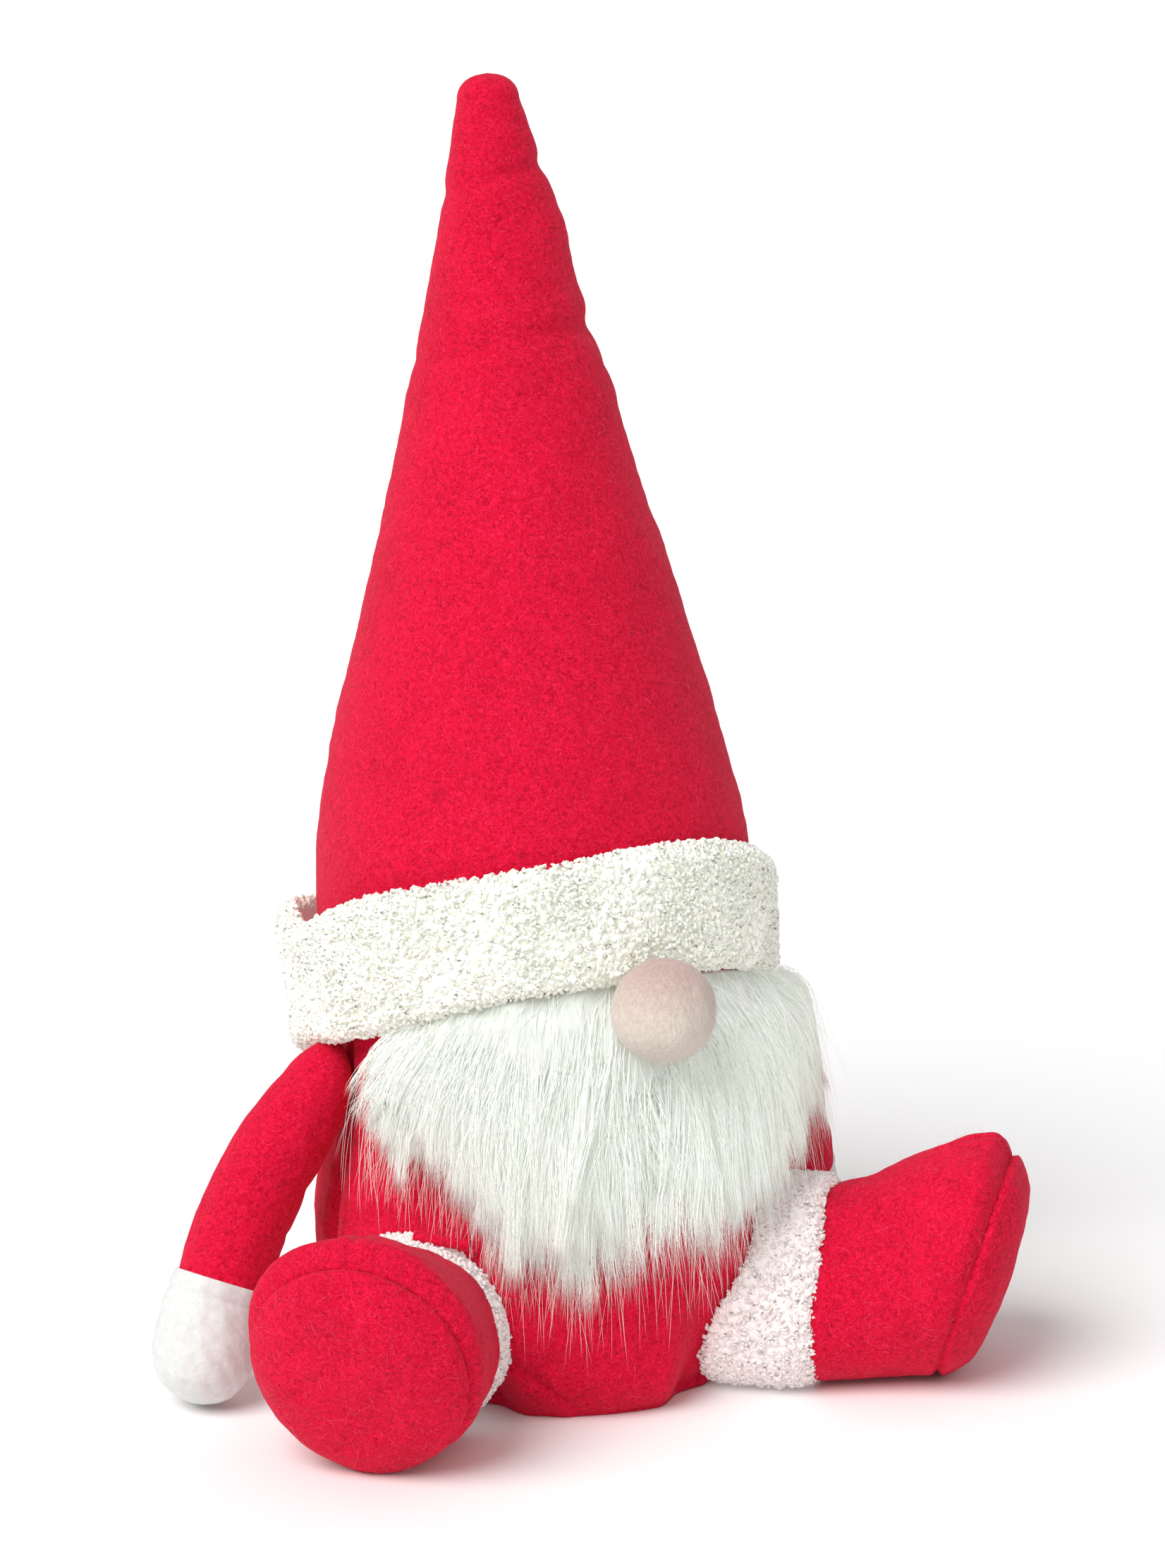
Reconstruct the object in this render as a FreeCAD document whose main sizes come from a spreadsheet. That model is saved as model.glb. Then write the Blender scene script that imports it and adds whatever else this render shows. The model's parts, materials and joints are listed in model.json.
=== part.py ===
import FreeCAD, Part
import math
import os
import sys

import Sketcher

# Seated stuffed tomte (Nordic house gnome), millimetres, +Z up.
# The figure looks along -Y, its right hand side is -X.  The origin is the
# centre of the base panel, on the surface the figure sits on.
# Body and hat share one axis that leans back: its point at height z is
# (0, lean_k * z, z).

doc = FreeCAD.newDocument("tomte")
sheet = doc.addObject("Spreadsheet::Sheet", "Sheet")

CELLS = [
    ("felt_thick", 2.0),        # wool-felt panels
    ("ease", 0.2),              # gap between a cover and its stuffing
    ("lean_k", 0.13),           # sideways travel of the axis per unit height
    ("lean_deg", 7.4),
    ("base_radius", 69.6),      # flat base panel
    ("base_thick", 2.2),
    ("body_fit", 0.4),          # air between the body and what hugs it
    ("bag_radius", 60.0),       # weight bag that lies on the base panel
    ("bag_bottom", 2.5),
    ("bag_height", 20.0),
    ("bag_wall", 1.0),
    ("bag_round", 7.0),
    ("brim_inner", 79.7),       # teddy band round the hat
    ("brim_outer", 87.8),
    ("brim_shift", 2.4),        # the band stands off further on the right hand side
    ("brim_mid_height", 143.0),
    ("brim_width", 41.0),
    ("brim_tilt_deg", 21.0),    # front edge high, back edge low
    ("nose_radius", 18.3),
    ("nose_felt", 1.8),
    ("nose_forward", 82.6),
    ("nose_height", 149.0),
    ("shoulder_out", 89.2),
    ("shoulder_back", 15.0),
    ("shoulder_height", 105.0),
    ("sleeve_top_radius", 12.0),
    ("sleeve_mid_radius", 16.0),
    ("sleeve_wrist_radius", 16.4),
    ("mitten_cuff_radius", 16.9),
    ("mitten_radius", 17.6),
    ("mitten_start", 76.0),
    ("arm_length", 118.4),
    ("pile_thick", 2.4),        # velour of the mittens
    ("tab_gap", 0.5),
    ("tab_thick", 1.2),
    ("leg_yaw_deg", 53.4),      # from straight ahead, towards each side
    ("thigh_radius", 30.0),
    ("thigh_start", 60.0),
    ("cuff_inner", 30.4),
    ("cuff_outer", 35.4),
    ("cuff_start", 60.0),
    ("boot_start", 97.0),
    ("boot_root_radius", 34.6),
    ("boot_mid_at", 120.0),
    ("boot_mid_radius", 37.6),
    ("boot_late_at", 138.0),
    ("boot_late_radius", 40.0),
    ("sole_at", 150.0),
    ("sole_height", 42.0),
    ("sole_radius", 41.5),
    ("sole_lean_deg", 21.0),    # toe edge leans away from the body
    ("sole_ball", 77.8),        # radius of the ball the stuffed sole is a cap of
    ("hip_roll_radius", 2.0),
    ("hip_roll_half", 11.0),
    ("hip_roll_height", 67.0),
    ("hip_roll_at", 88.0),
    ("hip_drum_radius", 175.0),
    ("hip_face_at", 85.4),
]
BODY = [  # height, radius of the stuffed body
    (0.0, 72.4), (5.0, 78.4), (15.0, 83.0), (32.0, 85.5), (52.0, 85.3),
    (70.0, 82.2), (84.0, 78.0), (96.0, 75.6), (116.0, 75.0), (140.0, 74.6),
    (157.0, 72.0), (170.0, 65.0), (180.0, 53.0), (186.0, 38.0),
]
HAT = [   # height, outer radius of the hat cone
    (70.0, 78.6), (120.0, 78.6), (177.0, 78.3), (187.0, 77.4), (208.0, 73.0),
    (233.0, 66.7), (258.0, 59.7), (284.0, 52.4), (309.0, 44.8), (334.0, 37.8),
    (358.0, 31.6), (383.0, 25.8), (408.0, 20.0), (428.0, 15.2), (440.0, 12.0),
    (448.0, 8.8), (453.0, 5.2),
]
BEARD = [  # height, radius, forward shift of the outer face of the beard
    (44.0, 86.0, 1.0), (58.0, 91.0, 4.0), (78.0, 94.0, 8.0),
    (105.0, 94.0, 10.0), (130.0, 90.0, 9.0), (150.0, 84.0, 6.0),
    (168.0, 80.0, 3.0),
]
for tag, rows in (("body", BODY), ("hat", HAT), ("beard", BEARD)):
    for i, row in enumerate(rows):
        CELLS.append(("%s_height_%d" % (tag, i), row[0]))
        CELLS.append(("%s_radius_%d" % (tag, i), row[1]))
        if len(row) > 2:
            CELLS.append(("%s_shift_%d" % (tag, i), row[2]))

VALUE = {}
for line, (name, number) in enumerate(CELLS, start=1):
    sheet.set("A%d" % line, name)
    sheet.set("B%d" % line, str(number))
    sheet.setAlias("B%d" % line, name)
    VALUE[name] = number
doc.recompute()


class Q:
    """A number together with the sheet expression that gives it."""

    def __init__(self, number, text):
        self.v, self.t = float(number), text

    @staticmethod
    def of(other):
        return other if isinstance(other, Q) else Q(other, "(%r)" % float(other))

    def __add__(self, other):
        o = Q.of(other)
        return Q(self.v + o.v, "(%s + %s)" % (self.t, o.t))

    def __sub__(self, other):
        o = Q.of(other)
        return Q(self.v - o.v, "(%s - %s)" % (self.t, o.t))

    def __mul__(self, other):
        o = Q.of(other)
        return Q(self.v * o.v, "(%s * %s)" % (self.t, o.t))

    def __neg__(self):
        return Q(-self.v, "(-1 * %s)" % self.t)


def S(name):
    return Q(VALUE[name], "Sheet." + name)


PARTS = []


def keep(obj, label):
    obj.Label = label
    PARTS.append(obj)
    return obj


def bind(obj, prop, q):
    obj.setExpression(prop, q.t)


def place(obj, x=0.0, y=0.0, z=0.0, rotation=None):
    """Put an object down; lengths given as sheet numbers stay bound."""
    qs = [Q.of(x), Q.of(y), Q.of(z)]
    obj.Placement = FreeCAD.Placement(
        FreeCAD.Vector(qs[0].v, qs[1].v, qs[2].v), rotation or FreeCAD.Rotation())
    for axis, given in zip("xyz", (x, y, z)):
        if isinstance(given, Q):
            bind(obj, "Placement.Base." + axis, given)
    return obj


def circle(name, radius, x, y, z, rotation=None):
    c = doc.addObject("Part::Circle", name)
    c.Radius = radius.v
    bind(c, "Radius", radius)
    return place(c, x, y, z, rotation)


def loft(name, sections, ruled=False):
    solid = doc.addObject("Part::Loft", name)
    solid.Sections = sections
    solid.Solid = True
    solid.Ruled = ruled
    return solid


def leaned(name, rows, tag, grow=0.0, low=None, high=None, cap=None):
    """Stack of level circles on the leaning axis, radii from the sheet."""
    sections = []
    for i, row in enumerate(rows):
        if low is not None and row[0] < low or high is not None and row[0] > high:
            continue
        height = S("%s_height_%d" % (tag, i))
        radius = S("%s_radius_%d" % (tag, i)) + grow
        y = S("lean_k") * height
        if len(row) > 2:
            y = y - S("%s_shift_%d" % (tag, i))
        sections.append(circle("%s_c%d" % (name, i), radius, 0.0, y, height))
    if cap is not None:
        tip = doc.addObject("Part::Vertex", name + "_tip")
        place(tip, 0.0, S("lean_k") * cap, Q.of(cap))
        sections.append(tip)
    return loft(name, sections)


def oblique(name, radius, low, high, shift=Q(0.0, "0")):
    """Tube body on the leaning axis between two heights."""
    ends = []
    for i, z in enumerate((low, high)):
        ends.append(circle("%s_e%d" % (name, i), radius, -shift, S("lean_k") * z, Q.of(z)))
    return loft(name, ends, True)


def cut(name, base, tool):
    b = doc.addObject("Part::Cut", name)
    b.Base, b.Tool = base, tool
    return b


def common(name, base, tool):
    b = doc.addObject("Part::Common", name)
    b.Base, b.Tool = base, tool
    return b


def fuse(name, *shapes):
    b = doc.addObject("Part::MultiFuse", name)
    b.Shapes = list(shapes)
    return b


def sphere(name, radius, x, y, z):
    s = doc.addObject("Part::Sphere", name)
    s.Radius = radius.v
    bind(s, "Radius", radius)
    return place(s, x, y, z)


def box(name, sides, placement):
    b = doc.addObject("Part::Box", name)
    for prop, q in zip(("Length", "Width", "Height"), sides):
        q = Q.of(q)
        setattr(b, prop, q.v)
        bind(b, prop, q)
    b.Placement = placement
    return b


def revolved(name, points):
    """PartDesign body: a closed outline (radius, height) turned about Z."""
    body = doc.addObject("PartDesign::Body", name)
    sketch = body.newObject("Sketcher::SketchObject", name + "_outline")
    plane = [f for f in body.Origin.OriginFeatures if f.Role == "XZ_Plane"][0]
    sketch.AttachmentSupport = [(plane, "")]
    sketch.MapMode = "FlatFace"
    n = len(points)
    pts = [(Q.of(a), Q.of(b)) for a, b in points]
    for i in range(n):
        a, b = pts[i], pts[(i + 1) % n]
        sketch.addGeometry(Part.LineSegment(
            FreeCAD.Vector(a[0].v, a[1].v, 0), FreeCAD.Vector(b[0].v, b[1].v, 0)), False)
    for i in range(n):
        sketch.addConstraint(Sketcher.Constraint("Coincident", i, 2, (i + 1) % n, 1))
    for i, (r, h) in enumerate(pts):
        if abs(r.v) < 1e-9:
            sketch.addConstraint(Sketcher.Constraint("PointOnObject", i, 1, -2))
        else:
            k = sketch.addConstraint(Sketcher.Constraint("DistanceX", -1, 1, i, 1, r.v))
            sketch.setExpression("Constraints[%d]" % k, r.t)
        if abs(h.v) < 1e-9:
            sketch.addConstraint(Sketcher.Constraint("PointOnObject", i, 1, -1))
        else:
            k = sketch.addConstraint(Sketcher.Constraint("DistanceY", -1, 1, i, 1, h.v))
            sketch.setExpression("Constraints[%d]" % k, h.t)
    turn = body.newObject("PartDesign::Revolution", name + "_turn")
    turn.Profile = sketch
    turn.ReferenceAxis = (sketch, ["V_Axis"])
    turn.Angle = 360.0
    body.Tip = turn
    return body


LEAN = FreeCAD.Rotation(FreeCAD.Vector(1, 0, 0), -VALUE["lean_deg"])
TILT = FreeCAD.Rotation(FreeCAD.Vector(1, 0, 0), -VALUE["brim_tilt_deg"])
felt, ease, fit = S("felt_thick"), S("ease"), S("body_fit")


def band(name, half, extra_low=0.0):
    """Slab parallel to the brim's plane, for trimming to its two edges."""
    mid = FreeCAD.Vector(0, VALUE["lean_k"] * VALUE["brim_mid_height"], VALUE["brim_mid_height"])
    corner = mid + TILT.multVec(FreeCAD.Vector(-200, -200, -half - extra_low))
    return box(name, (400.0, 400.0, Q.of(2 * half + extra_low)), FreeCAD.Placement(corner, TILT))


# ---- body: two felt side panels, base panel, stuffing, weight bag ----------
body_outer = leaned("body_outer", BODY, "body", 0.0, cap=189.0)
body_inner = leaned("body_inner", BODY, "body", -felt, cap=186.9)
body_shell = cut("body_shell", body_outer, body_inner)
front_half = box("front_half", (400.0, 200.0, 260.0),
                 FreeCAD.Placement(FreeCAD.Vector(-200, -200, -30), FreeCAD.Rotation()))
keep(common("front_cloth", body_shell, front_half), "body_front_panel")
keep(cut("back_cloth", body_shell, front_half), "body_back_panel")

base = doc.addObject("PartDesign::Body", "base_body")
base_sketch = base.newObject("Sketcher::SketchObject", "base_outline")
plane = [f for f in base.Origin.OriginFeatures if f.Role == "XY_Plane"][0]
base_sketch.AttachmentSupport = [(plane, "")]
base_sketch.MapMode = "FlatFace"
base_sketch.addGeometry(Part.Circle(FreeCAD.Vector(0, 0, 0), FreeCAD.Vector(0, 0, 1),
                                    VALUE["base_radius"]), False)
base_sketch.addConstraint(Sketcher.Constraint("Coincident", 0, 3, -1, 1))
k = base_sketch.addConstraint(Sketcher.Constraint("Radius", 0, VALUE["base_radius"]))
base_sketch.setExpression("Constraints[%d]" % k, "Sheet.base_radius")
pad = base.newObject("PartDesign::Pad", "base_pad")
pad.Profile = base_sketch
pad.Length = VALUE["base_thick"]
pad.setExpression("Length", "Sheet.base_thick")
base.Tip = pad
keep(base, "base_panel")

# weight bag: a flat sewn bag with rounded rim, pellets inside it
br, bb, bh, bw, bo = (S("bag_radius"), S("bag_bottom"), S("bag_height"), S("bag_wall"), S("bag_round"))


def bag_outline(shrink):
    s = Q.of(shrink)
    return [(0.0, bb + s), (br - bo, bb + s), (br - bo * 0.3, bb + bo * 0.3 + s * 0.6),
            (br - s, bb + bo), (br - s, bb + bh - bo), (br - bo * 0.3, bb + bh - bo * 0.3 - s * 0.6),
            (br - bo, bb + bh - s), (0.0, bb + bh - s)]


bag_full = revolved("bag_full", bag_outline(0.0))
bag_room = revolved("bag_room", bag_outline(bw))
keep(cut("bag_cloth", bag_full, bag_room), "weight_bag")
pellets = revolved("pellet_body", bag_outline(bw + ease))
keep(pellets, "weight_pellets")

filling_outer = leaned("filling_outer", BODY, "body", -(felt + ease * 2.0), cap=186.5)
above = box("above_filling", (400.0, 400.0, 100.0),
            FreeCAD.Placement(FreeCAD.Vector(-200, -200, 174), FreeCAD.Rotation()))
bag_space = revolved("bag_space", [(0.0, -5.0), (br + 6.0, -5.0), (br + 6.0, bb), (br + 0.6, bb + bo),
                                   (br + 0.6, bb + bh - bo + 0.3), (br - bo * 0.3 + 0.6, bb + bh - bo * 0.3 + 0.6),
                                   (br - bo + 0.4, bb + bh + 0.6), (0.0, bb + bh + 0.6)])
base_space = box("base_space", (400.0, 400.0, Q.of(30.0) + S("base_thick") + 0.2),
                 FreeCAD.Placement(FreeCAD.Vector(-200, -200, -30), FreeCAD.Rotation()))
keep(cut("body_stuffing", cut("stuffing_b", cut("stuffing_a", filling_outer, above), bag_space), base_space),
     "body_filling")

body_clear = leaned("body_clear", BODY, "body", fit, cap=189.6)

# ---- hat: felt cone, stuffing, teddy band ----------------------------------
below = band("below_brim", 20.5, 0.0)
half_brim = VALUE["brim_width"] / 2.0
mid = FreeCAD.Vector(0, VALUE["lean_k"] * VALUE["brim_mid_height"], VALUE["brim_mid_height"])
low_corner = mid + TILT.multVec(FreeCAD.Vector(-200, -200, -half_brim - 200))
under = box("under_brim", (400.0, 400.0, 200.0), FreeCAD.Placement(low_corner, TILT))
over_corner = mid + TILT.multVec(FreeCAD.Vector(-200, -200, -half_brim - 0.5))
over = box("over_beard", (400.0, 400.0, 200.0), FreeCAD.Placement(over_corner, TILT))



def hat_line(shrink, low, tip):
    """Outline of the hat from the bottom up, drawn in by the felt."""
    stretch = 1.0 / math.cos(math.radians(VALUE["lean_deg"]))
    rows = []
    for i, (height, radius) in enumerate(HAT):
        if height >= low and radius - Q.of(shrink).v > 1.5:
            rows.append((S("hat_radius_%d" % i) - shrink, S("hat_height_%d" % i) * stretch))
    return rows + [(Q.of(0.0), Q.of(tip * stretch))]


hat_wall = revolved("hat_wall", hat_line(0.0, 60.0, 455.4) + hat_line(felt, 60.0, 452.2)[::-1])
place(hat_wall, 0.0, 0.0, 0.0, LEAN)
keep(cut("hat_felt", hat_wall, under), "hat_cone")

fill_rows = hat_line(felt + ease, 170.0, 451.4)
hat_core = revolved("hat_core", [(Q.of(0.0), fill_rows[0][1])] + fill_rows)
place(hat_core, 0.0, 0.0, 0.0, LEAN)
keep(cut("hat_stuffing", hat_core, body_clear), "hat_filling")

brim_out = oblique("brim_out", S("brim_outer"), 60.0, 240.0, S("brim_shift"))
brim_in = oblique("brim_in", S("brim_inner"), 55.0, 245.0)
nose_room = sphere("nose_room", S("nose_radius") + 0.25, 0.0, -S("nose_forward"), S("nose_height"))
brim_tube = common("brim_tube", cut("brim_ring", brim_out, brim_in), below)
keep(cut("brim_band", brim_tube, nose_room), "hat_brim")

# ---- nose -------------------------------------------------------------------
nose_outer = sphere("nose_outer", S("nose_radius"), 0.0, -S("nose_forward"), S("nose_height"))
nose_inner = sphere("nose_inner", S("nose_radius") - S("nose_felt"), 0.0, -S("nose_forward"), S("nose_height"))
keep(cut("nose_felt_ball", nose_outer, nose_inner), "nose_cover")
keep(sphere("nose_core", S("nose_radius") - S("nose_felt") - ease, 0.0,
            -S("nose_forward"), S("nose_height")), "nose_filling")

# ---- beard: long-pile patch under the front of the band ----------------------
beard_outer = leaned("beard_outer", BEARD, "beard", 0.0)
outline = [(-66, 175), (66, 175), (71, 128), (63, 106), (42, 90), (16, 80), (-14, 74),
           (-40, 77), (-58, 90), (-68, 106), (-71, 128)]
poly = doc.addObject("Part::Polygon", "beard_edge")
poly.Nodes = [FreeCAD.Vector(x, 0, z) for x, z in outline]
poly.Close = True
prism = doc.addObject("Part::Extrusion", "beard_prism")
prism.Base = poly
prism.DirMode = "Custom"
prism.Dir = FreeCAD.Vector(0, -1, 0)
prism.LengthFwd = 160.0
prism.Solid = True
beard_a = common("beard_a", cut("beard_ring", beard_outer, body_clear), prism)
beard_b = cut("beard_b", beard_a, over)
keep(cut("beard_patch", beard_b, nose_room), "beard")


# ---- arms ---------------------------------------------------------------------
def aim(direction):
    """Rotation that carries -Z onto a direction."""
    return FreeCAD.Rotation(FreeCAD.Vector(0, 0, -1), FreeCAD.Vector(*direction))


def arm(side, sx, direction):
    turn = aim(direction)
    x = S("shoulder_out") * float(sx)
    y, z = S("shoulder_back"), S("shoulder_height")
    rt, rm, rw = S("sleeve_top_radius"), S("sleeve_mid_radius"), S("sleeve_wrist_radius")
    al = S("arm_length")
    cr, mr, ms, pt = S("mitten_cuff_radius"), S("mitten_radius"), S("mitten_start"), S("pile_thick")

    def sleeve_line(shrink):
        s = Q.of(shrink)
        return [(rt * 0.5 - s * 0.5, rt * 0.866 - s * 0.87), (rt * 0.866 - s * 0.87, rt * 0.5 - s * 0.5),
                (rt - s, Q.of(0.01)), (rt * 1.15 - s, Q.of(-9.0)), (rm - s, Q.of(-24.0)),
                (rm + 0.3 - s, Q.of(-48.0)), (rw - s, Q.of(-66.0))]

    def hand_line(shrink):
        s = Q.of(shrink)
        return [(cr - s, -ms), (mr - s, -(ms + 12.0)), (mr * 0.97 - s, -(ms + 25.0)),
                (mr * 0.80 - s * 0.9, -(ms + 35.0) + s * 0.5), (mr * 0.45 - s * 0.5, -(al - 2.5) + s * 0.9)]

    # the sleeve ends against the mitten's opening
    end = -(ms - 0.3)
    cloth = ([(0.0, rt)] + sleeve_line(0.0) + [(rw, end), (rw - felt, end)]
             + sleeve_line(felt)[::-1] + [(0.0, rt - felt)])
    keep(place(revolved(side + "_sleeve_body", cloth), x, y, z, turn), side + "_sleeve")
    hand = hand_line(0.0) + [(0.0, -al), (0.0, -al + pt)] + hand_line(pt)[::-1]
    keep(place(revolved(side + "_mitten_body", hand), x, y, z, turn), side + "_mitten")
    gap = felt + ease
    stuffing = ([(0.0, rt - gap)] + sleeve_line(gap)
                + [(rw - gap, end), (cr - pt - 0.4, -(ms + 0.4))]
                + hand_line(pt + 0.3)[1:] + [(0.0, -al + pt + 0.4)])
    keep(place(revolved(side + "_arm_stuffing", stuffing), x, y, z, turn), side + "_arm_filling")

    # seam tab: the felt cap over the arm's top, stitched to the body under the band
    tab_in = sphere(side + "_tab_in", rt + S("tab_gap"), x, y, z)
    tab_out = sphere(side + "_tab_out", rt + S("tab_gap") + S("tab_thick"), x, y, z)
    width = 9.0
    x0 = sx * VALUE["shoulder_out"]
    lo = min(x0 - sx * 4.0, x0 - sx * 20.0)
    gate = box(side + "_tab_gate", (16.0, width, 30.0),
               FreeCAD.Placement(FreeCAD.Vector(lo, VALUE["shoulder_back"] - width / 2.0,
                                                VALUE["shoulder_height"] - 1.0), FreeCAD.Rotation()))
    keep(common(side + "_tab", cut(side + "_tab_shell", tab_out, tab_in), gate), side + "_arm_seam_tab")


arm("right", -1, (-57.0, -19.0, -103.6))
arm("left", 1, (38.0, 46.0, -103.6))


# ---- legs ------------------------------------------------------------------------
def leg(side, sx):
    """Built pointing along +X, then turned about the upright axis."""
    yaw = -(90.0 - VALUE["leg_yaw_deg"]) if sx > 0 else -(90.0 + VALUE["leg_yaw_deg"])
    spin = FreeCAD.Rotation(FreeCAD.Vector(0, 0, 1), yaw)

    def stand(lean):
        return FreeCAD.Rotation(FreeCAD.Vector(0, 1, 0), 90.0 + lean)

    sole_lean = VALUE["sole_lean_deg"]
    stations = [
        (S("boot_start"), S("boot_root_radius") + 0.2, S("boot_root_radius"), 0.0),
        (S("boot_mid_at"), S("boot_mid_radius") * 0.9848, S("boot_mid_radius"), 10.0),
        (S("boot_late_at"), S("boot_late_radius") * 0.9613 + 0.4, S("boot_late_radius"), 16.0),
        (S("sole_at"), S("sole_height"), S("sole_radius"), sole_lean),
    ]

    def boot(name, shrink):
        rings = [circle("%s_%d" % (name, i), r - shrink, x, 0.0, z, stand(lean))
                 for i, (x, z, r, lean) in enumerate(stations)]
        return loft(name, rings)

    def tube(name, radius, start, end, height):
        c = doc.addObject("Part::Cylinder", name)
        c.Radius, c.Height = radius.v, (end - start).v
        bind(c, "Radius", radius)
        bind(c, "Height", end - start)
        return place(c, start, 0.0, height, stand(0.0))

    # what the leg has to stay clear of: a wide drum whose flank follows the
    # body's side, flatter across than the body, so the leg can also swing a
    # few degrees either way about its hip
    wide, face = VALUE["hip_drum_radius"], VALUE["hip_face_at"]
    flank = [(-12.0, 11.8), (0.0, 11.0), (5.0, 5.6), (15.0, 1.6), (32.0, 0.0), (54.0, 0.8),
             (72.0, 3.4), (90.0, 9.0)]
    rim = [FreeCAD.Vector(face - wide, 0, -12.0)]
    rim += [FreeCAD.Vector(face - back, 0, z) for z, back in flank]
    rim += [FreeCAD.Vector(face - wide, 0, 90.0), FreeCAD.Vector(face - wide, 0, -12.0)]
    drum = doc.addObject("Part::Feature", side + "_drum")
    drum.Shape = Part.Face(Part.makePolygon(rim)).revolve(
        FreeCAD.Vector(face - wide, 0, 0), FreeCAD.Vector(0, 0, 1), 360)
    keep_out = [drum]
    roll_room = doc.addObject("Part::Cylinder", side + "_roll_room")
    roll_room.Radius = VALUE["hip_roll_radius"] + 0.5
    bind(roll_room, "Radius", S("hip_roll_radius") + 0.5)
    roll_room.Height = 2 * VALUE["hip_roll_half"] + 1.0
    bind(roll_room, "Height", S("hip_roll_half") * 2.0 + 1.0)
    place(roll_room, S("hip_roll_at"), -(S("hip_roll_half") + 0.5), S("hip_roll_height"),
          FreeCAD.Rotation(FreeCAD.Vector(1, 0, 0), -90.0))

    def cleared(name, base):
        out = base
        for i, t in enumerate(keep_out + [roll_room]):
            out = cut("%s_k%d" % (name, i), out, t)
        return out

    def turned(name, obj, label):
        """The finished piece, swung from +X to its own side."""
        doc.recompute()
        f = doc.addObject("Part::Feature", name)
        shape = obj.Shape.copy()
        solids = sorted(shape.Solids, key=lambda s: -s.Volume)
        f.Shape = solids[0] if len(solids) > 1 else shape
        f.Placement = FreeCAD.Placement(FreeCAD.Vector(), spin).multiply(f.Placement)
        return keep(f, label)

    axis_z = S("boot_root_radius") + 0.9
    thigh = cut(side + "_thigh_tube",
                tube(side + "_thigh_o", S("thigh_radius"), S("thigh_start"), S("boot_start") + 4.0, axis_z),
                tube(side + "_thigh_i", S("thigh_radius") - felt, S("thigh_start") - 5.0,
                     S("boot_start") + 9.0, axis_z))
    turned(side + "_thigh_f", cleared(side + "_thigh", thigh), side + "_thigh")
    cuff = cut(side + "_cuff_tube",
               tube(side + "_cuff_o", S("cuff_outer"), S("cuff_start"), S("boot_start") - 0.3, axis_z),
               tube(side + "_cuff_i", S("cuff_inner"), S("cuff_start") - 5.0, S("boot_start") + 5.0, axis_z))
    turned(side + "_cuff_f", cleared(side + "_cuff", cuff), side + "_leg_cuff")

    boot_o, boot_i = boot(side + "_boot_o", Q.of(0.0)), boot(side + "_boot_i", felt)
    upper_a = cut(side + "_boot_a", boot_o, boot_i)
    thigh_room = tube(side + "_thigh_room", S("thigh_radius") + 0.2, S("thigh_start"),
                      S("boot_start") + 4.2, axis_z)
    turned(side + "_upper_f", cut(side + "_boot_b", upper_a, thigh_room), side + "_boot_upper")

    # the stuffed sole is the cap of a ball, square to the leaning seam plane
    n = FreeCAD.Vector(math.cos(math.radians(sole_lean)), 0, -math.sin(math.radians(sole_lean)))
    seam = FreeCAD.Vector(VALUE["sole_at"], 0, VALUE["sole_height"])
    depth = math.sqrt(VALUE["sole_ball"] ** 2 - VALUE["sole_radius"] ** 2)
    heart = seam - n * depth
    ball_o = sphere(side + "_ball_o", S("sole_ball"), heart.x, 0.0, heart.z)
    ball_i = sphere(side + "_ball_i", S("sole_ball") - felt, heart.x, 0.0, heart.z)
    ball_f = sphere(side + "_ball_f", S("sole_ball") - felt - ease, heart.x, 0.0, heart.z)

    def gate(name, radius, lift):
        c = doc.addObject("Part::Cylinder", name)
        c.Radius, c.Height = radius.v, 30.0
        bind(c, "Radius", radius)
        start = seam + n * lift
        c.Placement = FreeCAD.Placement(start, stand(sole_lean))
        return c

    sole = common(side + "_sole_a", cut(side + "_sole_s", ball_o, ball_i),
                  gate(side + "_sole_gate", S("sole_radius") + 1.0, 0.1))
    turned(side + "_sole_f", sole, side + "_boot_sole")
    stuffing = fuse(side + "_stuff",
                    tube(side + "_stuff_t", S("thigh_radius") - felt - ease, S("thigh_start"),
                         S("boot_start") + 6.0, axis_z),
                    boot(side + "_stuff_b", felt + ease),
                    common(side + "_stuff_c", ball_f, gate(side + "_stuff_gate", S("sole_radius") - 4.2, -2.0)))
    thigh_wall = cut(side + "_thigh_wall",
                     tube(side + "_thigh_wo", S("thigh_radius") + 8.0, S("boot_start") - 6.0,
                          S("boot_start") + 4.2, axis_z),
                     tube(side + "_thigh_wi", S("thigh_radius") - felt - ease, S("boot_start") - 8.0,
                          S("boot_start") + 6.0, axis_z))
    turned(side + "_stuff_f", cleared(side + "_stuffc", cut(side + "_stuff_d", stuffing, thigh_wall)),
           side + "_leg_filling")

    roll = doc.addObject("Part::Cylinder", side + "_roll")
    roll.Radius, roll.Height = VALUE["hip_roll_radius"], 2 * VALUE["hip_roll_half"]
    bind(roll, "Radius", S("hip_roll_radius"))
    bind(roll, "Height", S("hip_roll_half") * 2.0)
    place(roll, S("hip_roll_at"), -S("hip_roll_half"), S("hip_roll_height"),
          FreeCAD.Rotation(FreeCAD.Vector(1, 0, 0), -90.0))
    turned(side + "_roll_f", roll, side + "_hip_seam_roll")


doc.recompute()
leg("right", -1)
leg("left", 1)

doc.recompute()

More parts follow.
